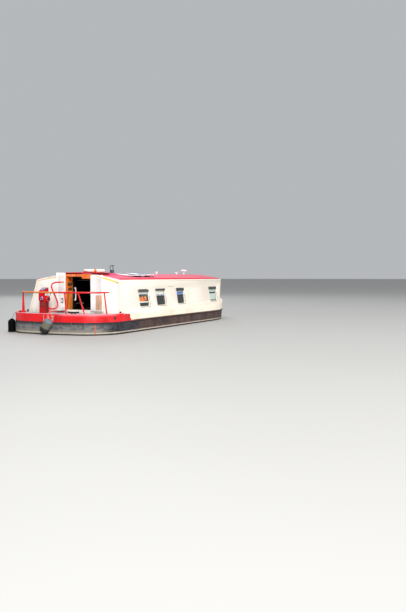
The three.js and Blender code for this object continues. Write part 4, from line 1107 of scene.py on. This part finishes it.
# foot station, foot y, head station, head y of the posts
RAIL_POSTS = [
    (950, 1850, 920, 1800),
    (680, 1560, 610, 1545),
    (190, -560, 165, -520),
    (300, -1210, 222, -1000),
    (764, -1750, 700, -1700),
]
RAIL_TOP, RAIL_RADIUS = 1.982, 0.027
END_BALL = [(0, -0.027), (0.019, -0.019), (0.027, 0), (0.019, 0.019), (0, 0.027)]
POST_FOOT = [(0, 0), (0.048, 0), (0.048, 0.007), (0.03, 0.012), (0.02, 0.02), (0, 0.02)]
line = flowing([(at(s), across / 1000, RAIL_TOP) for s, across in RAIL_LINE], 8)
shapes = [tube(line, RAIL_RADIUS)]
for end in (line[0], line[-1]):
    shapes.append(turned(END_BALL, end, steps=16))
for foot_s, foot_y, head_s, head_y in RAIL_POSTS:
    foot = Vector((at(foot_s), foot_y / 1000, DECK + 0.001))
    head = Vector((at(head_s), head_y / 1000, RAIL_TOP))
    shapes.append(tube([foot + (head - foot) * 0.012, head], RAIL_RADIUS * 0.9))
    shapes.append(turned(POST_FOOT, foot))
keep("stern_rail_piece", joined(*shapes), [rail_red], replaces=["stern_rail"])

# %% Tiller
# station and height above the waterline of the swan neck
NECK = [
    (60, 842), (170, 838), (330, 848), (455, 900), (490, 990), (440, 1120), (330, 1290),
    (225, 1440), (165, 1560), (195, 1655), (310, 1698), (470, 1715), (640, 1716),
]
neck = tube(flowing([(at(s), 0, WATERLINE + h / 1000) for s, h in NECK], 8), 0.025)
collar_profile = [(0, 1.441), (0.038, 1.441), (0.038, 1.488), (0.034, 1.497), (0, 1.5)]
collar = turned(collar_profile, (at(60), 0, 0))
keep("tiller_piece", joined(neck, collar), [red_gloss], replaces=["tiller"])

grip_profile = [
    (0, 0), (0.017, 0), (0.019, 0.004), (0.018, 0.02), (0.021, 0.07), (0.0235, 0.12), (0.019, 0.135),
    (0.022, 0.142), (0.0245, 0.152), (0.022, 0.166), (0.014, 0.172), (0, 0.174),
]
grip = turned(grip_profile, (at(641), 0, WATERLINE + 1.716), along=(1, 0, 0))
keep("tiller_grip_piece", grip, [varnish], replaces=["tiller_grip"])

# %% [markdown]
# ## Control pedestal
#
# The engine is worked from a red steel box on the stern deck. A small instrument board lies on its
# sloping top, a blue lamp glass is let into its aft face, and a ringed head with a lever sits on its
# starboard face. They could be cut into the box, but they are bolted on in reality, so they are
# turned and panelled shapes set on the faces of the solid. Brown-red patches low on the aft face and
# on the starboard face are painted shade, with a pale strip above the starboard one.

# %% Instrument finishes
dial_face = two_tone("dial_face", ("e9eae4", "cfd1cb"), (90, 2), None, (0.3, 0.1))
blue_glass = two_tone(
    "blue_glass", ("1f7fe8", "0f4fb4"), (50, 2), None, (0.15, 0.1), Coat_Weight=1.0, Coat_Roughness=0.05
)
matt_black = two_tone(
    "matt_black", ("0b0b10", "17171c"), (40, 2), None, (0.8, 0.1), Specular_IOR_Level=0.05
)
black_enamel = two_tone("black_enamel", ("101113", "1f2023"), (40, 2), None, (0.22, 0.1))
display_blue = two_tone("display_blue", ("a9c4f4", "7fa4ea"))
pale_green = two_tone("pale_green_paint", ("e6ebe4", "ccd6ca"))
# the brown-red of the pedestal's patches is painted shade
shade_patch_red = two_tone("brown_red_paint", ("8e2a26", "5c1718"))
sea_green = two_tone("control_face", ("6f8a80", "3f5750"))

print("finishes so far:", len(bpy.data.materials))


# %% Pedestal console
def gauge(radius, bezel, face, needle, height=0.016):
    """A round instrument lying in the XY plane: a bezel ring, a sunk face and a needle."""
    inner, low, top = radius * 0.79, height * 0.35, height * 0.4
    ring = [
        (radius * 0.8, low), (radius * 0.82, height * 0.9), (radius * 0.9, height),
        (radius, height * 0.7), (radius, 0), (0, 0), (0, low), (radius * 0.8, low),
    ]
    disc = [(0, top), (inner, top), (inner, height * 0.36), (0, height * 0.36)]
    tail, tip = radius * 0.2, radius * 0.62
    hand = block((-0.002, -tail, height * 0.42), (0.002, tip, height * 0.52), needle, 0.0005)
    return joined(turned(ring, finish=bezel, steps=28), turned(disc, finish=face, steps=28), hand)


dress("control_pedestal", shaded_red, width=0.006)

slope = math.atan2(0.11, 0.23)
top_frame = place((at(885), 0.88, 2.0755), -slope, "Y")
console = joined(
    panel(-0.085, 0.075, -0.06, 0.06, 0, 0.006, 0.015, finish=4, width=0.002),
    panel(-0.085, 0.06, -0.105, -0.066, 0, 0.012, 0.008, finish=0, width=0.002),
    moved(gauge(0.034, 2, 1, 0), place((0.03, 0, 0.005))),
    moved(gauge(0.024, 2, 3, 1), place((-0.045, 0.03, 0.005))),
    block((-0.065, -0.05, 0.004), (-0.025, -0.01, 0.014), 3, 0.003),
)
console_finishes = [black_enamel, dial_face, steel, blue_glass, display_blue]
keep("pedestal_console", moved(console, top_frame), console_finishes)

# %% Pedestal lamp and covers
facing_aft, facing_starboard = -math.pi / 2, math.pi / 2
lamp_glass = joined(
    turned([(0, 0), (0.052, 0), (0.052, 0.008), (0.044, 0.014), (0.04, 0.01), (0, 0.01)], finish=2),
    turned([(0, 0.009), (0.039, 0.009), (0.034, 0.02), (0.018, 0.027), (0, 0.029)], finish=0),
    panel(-0.085, -0.045, -0.045, 0.045, 0, 0.01, 0.01, finish=1, width=0.002),
)
bmesh.ops.scale(lamp_glass, verts=lamp_glass.verts, vec=(1.28, 0.92, 1))
lamp_place = place((at(750), 0.86, 1.76), facing_aft, "Y")
keep("pedestal_lamp", moved(lamp_glass, lamp_place), [blue_glass, black_enamel, steel])

# painted shade under the box's overhang, low on its aft face
aft_shade_patch = panel(1.46, 1.62, 0.78, 0.955, 0, 0.006, 0.012, width=0.0015)
keep("pedestal_aft_shade", moved(aft_shade_patch, place((at(790), 0, 0), facing_aft, "Y")), [shade_patch_red])

# painted shade over the starboard face's lower part, with a pale strip higher up
cover = joined(
    panel(at(800), at(992), 1.29, 1.63, 0, 0.005, 0.012, finish=0, width=0.0015),
    panel(at(800), at(990), 1.85, 1.925, 0, 0.006, 0.01, finish=1, width=0.0015),
)
cover_place = place((0, 0.76, 0), facing_starboard, "X")
keep("pedestal_side_patches", moved(cover, cover_place), [shade_patch_red, pale_green])

# %% Engine control
head_profile = [
    (0, 0.012), (0.072, 0.012), (0.078, 0.018), (0.08, 0.046), (0.086, 0.0502),
    (0.098, 0.048), (0.104, 0.04), (0.104, 0.0005), (0, 0.0005), (0, 0.012),
]
inner_profile = [(0, 0.013), (0.07, 0.013), (0.07, 0.0165), (0.03, 0.019), (0, 0.019)]
boss_profile = [(0, 0.018), (0.024, 0.018), (0.024, 0.06), (0.018, 0.066), (0, 0.066)]
knob_profile = [(0, -0.02), (0.014, -0.015), (0.02, 0), (0.014, 0.015), (0, 0.02)]
head = joined(
    turned(head_profile, steps=40),
    turned(inner_profile, finish=1, steps=40),
    turned(boss_profile, finish=2),
)
head = moved(head, place((at(922), 0.7597, 1.73), facing_starboard, "X"))
lever_end = Vector((at(1020), 0.696, 1.92))
lever = tube([(at(922), 0.702, 1.73), lever_end], 0.009, 2)
knob = turned(knob_profile, lever_end, 2, steps=20)
control_finishes = [red_gloss, sea_green, black_enamel]
keep("engine_control_piece", joined(head, lever, knob), control_finishes, replaces=["engine_control"])

# %% [markdown]
# ## Companionway instruments and grab handle
#
# Four round gauges sit on the varnished wall just inside the doorway, with black faces in thin black
# bezels on a wooden plate, and a white grab handle follows further in. A picture could give the dials,
# but strokes of mesh stay sharp from near by. Each gauge is turned, and its face carries a plain scale
# of short strokes and a needle.

# %% Gauge panel
# station, height and radius of each gauge
GAUGES = [(1470, 2.236, 0.058), (1600, 2.236, 0.058), (1492, 2.072, 0.046), (1610, 2.072, 0.046)]
wall_place = place((0, 0.2747, 0), facing_starboard, "X")
gauge_shapes = [panel(at(1405), at(1665), 2.0, 2.31, 0, 0.0085, 0.012, finish=0, width=0.002)]
for station, level, radius in GAUGES:
    shape = gauge(radius, 1, 1, 2, 0.0255)
    low, high = radius * 0.58, radius * 0.73
    marks = [
        moved(
            block((-0.0012, low, 0.0102), (0.0012, high, 0.0112), 2, 0),
            place((0, 0, 0), math.radians(turn)),
        )
        for turn in range(-120, 121, 30)
    ]
    gauge_shapes.append(moved(joined(shape, *marks), place((at(station), level, 0))))
keep(
    "gauge_panel_piece",
    moved(joined(*gauge_shapes), wall_place),
    [varnish, matt_black, dial_face],
    replaces=["gauge_panel"],
)

# %% Grab rail
white = two_tone("white_plastic", ("fbfbf9", "e4e5e4"), (20, 3), (0.45, 0.75), (0.3, 0.15))
grab_x, grab_y = at(1840), DOOR_PORT - 0.034
grab_line = [(0, 1.66), (0.014, 1.82), (0.022, 1.98), (0, 2.12)]
rose_profile = [(0, 0), (0.024, 0), (0.024, 0.004), (0.013, 0.009), (0, 0.009)]
grab_shapes = [tube(flowing([(grab_x + out, grab_y, level) for out, level in grab_line]), 0.019)]
for level in (1.68, 2.1):
    grab_shapes.append(tube([(grab_x, DOOR_PORT - 0.001, level), (grab_x, grab_y, level)], 0.012))
    grab_shapes.append(turned(rose_profile, (grab_x, DOOR_PORT, level), along=(0, -1, 0)))
keep("grab_rail_piece", joined(*grab_shapes), [white], replaces=["grab_rail"])

# %% [markdown]
# ## Decks, iron and wood
#
# The decks are grey non-slip paint, and the lid in the stern deck is chequer plate with raised
# lozenges that lie two ways. Thousands of small meshes could make them, but they stand only 2 mm high,
# so the relief of the finish is enough. Iron fittings are blacked and crusted, and the floor and the
# engine's casing are old boards that stay in the dark of the cabin.

# %% Deck paint
deck_paint = Finish("deck_paint")
grit = deck_paint.noise(160, 2)
worn = deck_paint.noise(2.4, 5)
tone = deck_paint.mix("bcbabb", "9f9c9d", worn.fade(0.4, 0.7))
tone = deck_paint.mix(tone, "c3c5c4", grit.fade(0.6, 0.75) * 0.5)
deck_paint.paint(tone, 0.75 + grit * 0.15, grit, 0.0015)
for node in ("stern_deck", "well_deck"):
    dress(node, deck_paint, width=0.002)

# %% Chequer plate
chequer = Finish("chequer_plate", Metallic=0.3)
PITCH = 0.036


def lozenges(across, along):
    """1 on slim raised marks that lie along the second axis."""
    thin = abs(across % PITCH - PITCH / 2).fade(PITCH * 0.16, PITCH * 0.08)
    long = abs(along % PITCH - PITCH / 2).fade(PITCH * 0.42, PITCH * 0.34)
    return thin * long


slant, counter = chequer.x + chequer.y, chequer.x - chequer.y
raised = (lozenges(slant, counter) + lozenges(counter + PITCH / 2, slant + PITCH / 2)).clamp()
scuffed_plate = chequer.noise(5, 4)
tone = chequer.mix("6f7274", "8c8f90", scuffed_plate.fade(0.4, 0.7))
chequer.paint(chequer.mix(tone, "b5b8b9", raised * 0.6), 0.5 - raised * 0.12, raised, 0.003)
dress("deck_hatch_lid", chequer, width=0.002)

# %% Iron fittings
IRONS = ("1d1b1b", "453b36")
iron = two_tone("blacked_iron", IRONS, (30, 4), (0.52, 0.76), (0.5, 0.25), 0.001, Metallic=0.2)
strake_iron = two_tone(
    "strake_iron", ("37292a", "5a4744"), (5, 5, (0.3, 1, 1)), (0.4, 0.68), (0.55, 0.2), 0.002, Metallic=0.2
)
dress("bow_t_stud", iron, width=0.003)
rudder_paint = Finish("rudder_paint", Metallic=0.15)
flakes = rudder_paint.noise(24, 4)
head_red = rudder_paint.mix("e8303a", "f0a09c", flakes.fade(0.5, 0.62))
blade_iron = rudder_paint.mix(*IRONS, flakes.fade(0.52, 0.76))
over_deck = rudder_paint.z.fade(DECK + 0.002, DECK + 0.006)
tone = rudder_paint.mix(blade_iron, head_red, over_deck)
rudder_paint.paint(tone, 0.45 + flakes * 0.25, flakes, 0.001)
dress("rudder", rudder_paint, width=0.003)
for side in ("port", "starboard"):
    dress(f"rubbing_strake_{side}", strake_iron, width=0.006)

# %% Bronze, floor and engine
bronze = two_tone("bronze", ("b5853f", "665434"), (14, 4), (0.45, 0.7), (0.3, 0.3), 0.0008, Metallic=0.9)
dress("propeller", bronze, width=0.004)

floor_board = Finish("floor_board")
plank = floor_board.noise(8, 4, (0.12, 1, 1), 0.3)
gap_line = abs(floor_board.y % 0.14 - 0.07).fade(0.004, 0.001)
tone = floor_board.mix("3b2314", "25140a", plank.fade(0.35, 0.7))
tone = floor_board.mix(tone, "0c0705", gap_line * 0.8)
floor_board.paint(tone, 0.5 + plank * 0.15, plank - gap_line * 2, 0.002)
for node in ("cabin_floor", "engine_casing"):
    dress(node, floor_board, width=0.003)

enamel = two_tone("engine_enamel", ("2f5a42", "1d2f26"), (7, 4), (0.5, 0.75), (0.45, 0.2), 0.001)
dress("engine_block", enamel, width=0.012)

# %% [markdown]
# ## Mooring gear and small deck fittings
#
# A dolly is a short bollard with an orange-red head. It could be built of cylinders, but it is turned
# in one piece, so that its neck flows into its foot. The cleat has two legs and a horn with raised
# tips, a swept tube here. Two small black eyes stand on the deck corners, a round filler cap sits in
# the red band on the quarter, and a red batten runs along the foot of the bulkhead.

# %% Dolly
dolly_paint = Finish("dolly_paint", Metallic=0.1)
nicks = dolly_paint.noise(40, 3)
head_mask = dolly_paint.z.fade(DECK + 0.05, DECK + 0.056)
dolly_foot = dolly_paint.mix("161516", "3a3230", nicks)
dolly_head = dolly_paint.mix("ff5a2e", "e8431c", nicks)
dolly_paint.paint(dolly_paint.mix(dolly_foot, dolly_head, head_mask), 0.45 + nicks * 0.2, nicks, 0.0008)
dolly_profile = [
    (0, 0), (0.062, 0), (0.062, 0.007), (0.04, 0.012), (0.029, 0.02), (0.027, 0.056), (0.045, 0.066),
    (0.055, 0.074), (0.056, 0.084), (0.046, 0.093), (0.02, 0.0957), (0, 0.096),
]
dolly = turned(dolly_profile, (at(630), 1.69, DECK + 0.0003))
keep("mooring_dolly_piece", dolly, [dolly_paint], replaces=["mooring_dolly_port"])

# %% Cleat and eyes
# y and height of the horn
HORN = [(-0.84, 1.33), (-0.76, 1.318), (-0.62, 1.316), (-0.48, 1.318), (-0.4, 1.33)]
horn = tube(flowing([(at(500), across, level) for across, level in HORN]), 0.025)
leg_profile = [(0, 0), (0.036, 0), (0.034, 0.008), (0.026, 0.02), (0.025, 0.06), (0, 0.06)]
legs = [turned(leg_profile, (at(500), leg_y, DECK + 0.009)) for leg_y in (-0.68, -0.56)]
foot_plate = panel(at(460), at(540), -0.74, -0.5, DECK + 0.0003, DECK + 0.01, 0.02, width=0.002)
cleat = joined(horn, foot_plate, *legs)
keep("mooring_cleat_piece", cleat, [iron], replaces=["mooring_cleat_starboard"])

eye_profile = [
    (0, 0), (0.036, 0), (0.036, 0.008), (0.024, 0.014), (0.022, 0.04), (0.032, 0.052), (0.036, 0.066),
    (0.032, 0.082), (0.016, 0.09), (0, 0.091),
]
for side, station, across in (("starboard", 1305, -1.94), ("port", 1330, 1.93)):
    keep(f"deck_eye_{side}", turned(eye_profile, (at(station), across, DECK + 0.001)), [iron])

# %% Filler cap and batten
# radius and middle of the quarter's round, on which the cap lies
QUARTER_RADIUS, QUARTER_STATION, QUARTER_Y = 1.146, 1210, 0.886
turn_in = (QUARTER_STATION - 880) / 1150
out_y = -math.sqrt(1 - turn_in**2)
outward = Vector((-turn_in, out_y, 0))
cap_centre = Vector((at(QUARTER_STATION), -QUARTER_Y, 1.15)) + outward * QUARTER_RADIUS
cap_profile = [
    (0, 0), (0.058, 0), (0.058, 0.006), (0.052, 0.009), (0.042, 0.009), (0.04, 0.006), (0, 0.006),
]
plug_profile = [(0, 0.005), (0.03, 0.005), (0.027, 0.012), (0, 0.013)]
filler = joined(
    turned(cap_profile, cap_centre, along=outward),
    turned(plug_profile, cap_centre, 1, outward),
)
old_red = two_tone("old_red_iron", ("8a3038", "5f1a20"))
keep("filler_cap", filler, [old_red, iron])
batten = block((at(1346), 0.36, 1.268), (at(1362), 0.99, 1.304), 0, 0.004)
keep("bulkhead_batten", batten, [red_gloss])

# %% [markdown]
# ## Fenders
#
# The stern fender is a barrel of wound rope under a grey cap, hung leaning on two short chains, and its
# lower end turns near black, wet rope with painted shade. Real windings would take a long helix, and at
# this size small bulges in a turned profile, one for each turn of rope, show the same. It is flattened
# where it presses on the stern. The quarter fender is a ribbed rubber cylinder on a short lanyard,
# which its weight keeps taut.

# %% Stern fender barrel
FENDER_LEAN = math.radians(33)
barrel_axis = Vector((0, -math.sin(FENDER_LEAN), math.cos(FENDER_LEAN)))
barrel_centre = Vector((at(-120), 0.015, WATERLINE + 0.288))
rows = [(0, -0.225)]
for step in range(65):
    h = -0.224 + step * 0.007
    end = min(1, (0.225 - abs(h)) / 0.075)
    shoulder = 0.05 * math.sqrt(max(0, 1 - (1 - end) ** 2))
    winding = 0.005 * abs(math.sin(math.pi * h / 0.026))
    rows.append((0.094 + shoulder + winding, h))
rows.append((0, 0.225))
rope_barrel = turned(rows, barrel_centre, along=barrel_axis, steps=48)
for vert in rope_barrel.verts:
    vert.co.x = min(vert.co.x, at(-3))

fender_rope = Finish("fender_rope")
along_axis = (fender_rope.y - barrel_centre.y) * barrel_axis.y
along_axis = along_axis + (fender_rope.z - barrel_centre.z) * barrel_axis.z
strand = fender_rope.noise(55, 3, (1, 1, 0.5))
moss = fender_rope.noise(9, 4)
tone = fender_rope.coats(
    fender_rope.mix("5a5746", "8a8776", strand.fade(0.35, 0.7)),
    ("566a4c", moss.fade(0.5, 0.7) * 0.5),
    # the lower end turns near black: wet rope with painted shade
    ("121211", along_axis.fade(-0.02, -0.09) * 0.95),
    ("6d7a84", (along_axis + (moss - 0.5) * 0.05).fade(0.165, 0.185)),
)
fender_rope.paint(tone, 0.8 + strand * 0.15, strand, 0.006)
print("barrel:", len(rope_barrel.faces), "faces")

# %% Stern fender chains
chain_iron = two_tone("galvanised_chain", ("c9c8b4", "8f8e80"), (60, 2), rough=(0.4, 0.2), Metallic=0.6)


def chain(start, end, pitch=0.034, bar=0.0055):
    """Oval links along a line, each turned a quarter from the last."""
    start, end = Vector(start), Vector(end)
    run = end - start
    count = max(2, round(run.length / pitch))
    half = run.length / count / 2 + bar * 0.8
    aim = Vector((0, 0, 1)).rotation_difference(run).to_matrix().to_4x4()
    links = []
    for i in range(count):
        angles = [math.tau * k / 14 for k in range(14)]
        oval = [(0.012 * math.cos(a), 0, half * math.sin(a)) for a in angles]
        quarter = Matrix.Rotation(math.pi / 2 * (i % 2), 4, "Z")
        middle = place(start + run * ((i + 0.5) / count))
        links.append(moved(tube(oval, bar, 1, closed=True, sides=1), middle @ aim @ quarter))
    return joined(*links)


chains = [
    chain((at(-12), 0.205, 1.246), (at(-110), 0.112, 1.016)),
    chain((at(-12), -0.221, 1.246), (at(-110), -0.158, 1.022)),
]
stern_fender = joined(rope_barrel, *chains)
keep("stern_fender_piece", stern_fender, [fender_rope, chain_iron], replaces=["stern_fender"])

# %% Quarter fender
rubber = two_tone(
    "black_rubber", ("030304", "0d0c0c"), (18, 3), (0.45, 0.75), (0.7, 0.2), 0.0006, Specular_IOR_Level=0.1
)
quarter_angle = math.radians(50.625)
outward = Vector((-math.cos(quarter_angle), math.sin(quarter_angle), 0))
standoff = QUARTER_RADIUS + 0.1288
quarter_centre = Vector((at(QUARTER_STATION), QUARTER_Y, 0)) + outward * standoff
rows = [(0, 0.39), (0.07, 0.39), (0.1, 0.405), (0.126, 0.46)]
for step in range(11):
    h = 0.48 + step * 0.048
    rows += [(0.13, h), (0.13, h + 0.034), (0.122, h + 0.038), (0.122, h + 0.044)]
rows = [row for row in rows if row[1] < 0.97]
rows += [(0.126, 0.975), (0.11, 1.0), (0.062, 1.04), (0.055, 1.05), (0.02, 1.05)]
rows += [(0.02, 1.07), (0, 1.07)]
quarter_body = turned(rows, quarter_centre, steps=36)

lanyard_rope = two_tone(
    "lanyard_rope", ("8f8a7a", "4f4c44"), (120, 2, (1, 1, 0.3)), rough=(0.85, 0.1), relief=0.002
)
lanyard_top = quarter_centre - outward * 0.1177 + Vector((0, 0, 1.288))
lanyard_foot = quarter_centre + Vector((0, 0, 1.066))
lanyard = tinted(tube([lanyard_top, lanyard_top.lerp(lanyard_foot, 0.5), lanyard_foot], 0.008), 1)
quarter_fender = joined(quarter_body, lanyard)
keep("quarter_fender_piece", quarter_fender, [rubber, lanyard_rope], replaces=["quarter_fender"])

# %% Bow fender
rope = two_tone(
    "weathered_rope", ("4a4c3f", "7a7868"), (60, 3, (1, 1, 0.35)), rough=(0.85, 0.1), relief=0.006
)
dress("bow_fender", rope, width=0.012)

# %% [markdown]
# ## On the roof
#
# The flue, the mushroom vents and the aerial are turned, as the real ones are spun or moulded. The
# flue keeps its three struts and coolie cap, and its port half is near black as painted shade. The
# lifebuoy could be a ready-made torus, but a turned ring takes the real flattened section. It has four
# orange bands, and each solar panel is glass painted with a pale sky reflection, darker on the aft
# panel, over rows of cells in a light frame on short brackets.

# %% Flue
flue = Finish("flue_paint", Metallic=0.2)
flue_mottle = flue.noise(11, 4)
tone = flue.coats(
    flue.mix("525d70", "3b4657", flue_mottle.fade(0.4, 0.7)),
    # painted shade: the flue's port half goes near black
    ("0c0d10", (flue.y + (flue_mottle - 0.5) * 0.03).fade(0.02, 0.045)),
    ("0b0b0c", flue.z.fade(2.742, 2.752)),
)
flue.paint(tone, 0.45 + flue_mottle * 0.2, flue_mottle, 0.0006)
flue_foot = Vector((at(3890), 0.02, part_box("chimney")[0].z))
pipe_profile = [
    (0, 0), (0.125, 0), (0.125, 0.011), (0.119, 0.014), (0.08, 0.024), (0.0775, 0.03), (0.077, 0.088),
    (0.0795, 0.09), (0.0795, 0.102), (0.077, 0.104), (0.076, 0.15), (0.062, 0.15), (0.062, 0.03), (0, 0.03),
]
coolie_profile = [
    (0, 0.298), (0.093, 0.298), (0.096, 0.301), (0.095, 0.307), (0.06, 0.318), (0.03, 0.328), (0, 0.33),
]
pipe = turned(pipe_profile, flue_foot, steps=40)
coolie = turned(coolie_profile, flue_foot, steps=40)
struts = []
for i in range(3):
    around = math.tau * i / 3
    foot = flue_foot + Vector((0.069 * math.cos(around), 0.069 * math.sin(around), 0))
    struts.append(tube([foot + Vector((0, 0, h)) for h in (0.132, 0.303)], 0.01))
keep("chimney_piece", joined(pipe, coolie, *struts), [flue], replaces=["chimney"])

# %% Vents and aerial
vent_profile = [
    (0, 0), (0.062, 0), (0.062, 0.006), (0.056, 0.009), (0.033, 0.015), (0.03, 0.022), (0.03, 0.064),
    (0.072, 0.07), (0.08, 0.077), (0.079, 0.086), (0.066, 0.094), (0.034, 0.099), (0, 0.1),
]
for name, station, across in (("roof_vent_aft", 6790, -0.3), ("roof_vent_forward", 8830, -0.2)):
    foot = (at(station), across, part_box(name)[0].z)
    keep(f"{name}_piece", turned(vent_profile, foot), [white], replaces=[name])

aerial_profile = [
    (0, 0), (0.042, 0), (0.042, 0.036), (0.037, 0.042), (0.02, 0.05), (0.018, 0.056), (0.018, 0.115),
    (0.118, 0.122), (0.138, 0.132), (0.145, 0.144), (0.145, 0.17), (0.136, 0.186), (0.09, 0.202), (0, 0.21),
]
aerial_foot = (at(9740), -0.1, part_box("tv_aerial")[0].z)
keep("tv_aerial_piece", turned(aerial_profile, aerial_foot, steps=48), [white], replaces=["tv_aerial"])

# %% Lifebuoy
buoy_centre = Vector((at(1985), -0.45, 2.7053))
around_tyre = [math.tau * i / 20 for i in range(21)]
tyre = [(0.322 + 0.059 * math.cos(a), 0.0528 * math.sin(a)) for a in around_tyre]
buoy = Finish("lifebuoy_plastic")
BAND_TURN = math.radians(40)
dx, dy = buoy.x - buoy_centre.x, buoy.y - buoy_centre.y
along_band = dx * math.cos(BAND_TURN) + dy * math.sin(BAND_TURN)
across_band = dy * math.cos(BAND_TURN) - dx * math.sin(BAND_TURN)
stripe = (abs(along_band).fade(0.046, 0.042) + abs(across_band).fade(0.046, 0.042)).clamp()
mould = buoy.noise(9, 3)
tone = buoy.mix(buoy.mix("fdfdf9", "e9e6da", mould.fade(0.45, 0.7)), "f0701a", stripe)
buoy.paint(tone, 0.42 + mould * 0.15, mould, 0.001)
keep("lifebuoy_piece", turned(tyre, buoy_centre, steps=72), [buoy], replaces=["lifebuoy"], sharp=60)

# %% Solar panels
solar = Finish("solar_glass", Roughness=0.1, Coat_Weight=0.6, Coat_Roughness=0.05)
lines_x = abs(solar.x % 0.13 - 0.065).fade(0.06, 0.063)
lines_y = abs(solar.y % 0.13 - 0.065).fade(0.06, 0.063)
grid = (lines_x + lines_y).clamp()
cloudy = solar.noise(2.5, 3)
# the cells' pale lilac-blue is a painted sky reflection, darker grey-violet on the aft panel
tone = solar.mix(solar.mix("b4b9d4", "98a0c4", cloudy), "d8dbe8", grid)
tone = solar.mix(solar.mix("84808f", "6d6878", cloudy), tone, solar.x.fade(at(3500), at(3960)))
solar.feed("Base Color", tone)
solar_frame = Finish("anodised_frame")
dulled = solar_frame.noise(10, 3)
near_edge = solar_frame.y.fade(-1.27, -1.284) * solar_frame.z.fade(2.533, 2.52)
aft_legs = solar_frame.x.band(at(3120), at(3180), 0.004)
middle_legs = solar_frame.x.band(at(3980), at(4040), 0.004)
shaded = near_edge + (aft_legs + middle_legs) * solar_frame.z.fade(2.51, 2.5)
tone = solar_frame.mix("ecedf0", "cfd1d8", dulled.fade(0.4, 0.7))
tone = solar_frame.mix(tone, "1a1216", shaded.clamp() * 0.9)
solar_frame.paint(tone, 0.35 + dulled * 0.15)


def panel_faces(middle, normal):
    """1 on the frame, the brackets and the underside."""
    return int(normal.z < 0.9)


for name in ("solar_panel_aft", "solar_panel_forward"):
    dress(name, solar, solar_frame, width=0.003, choose=panel_faces)
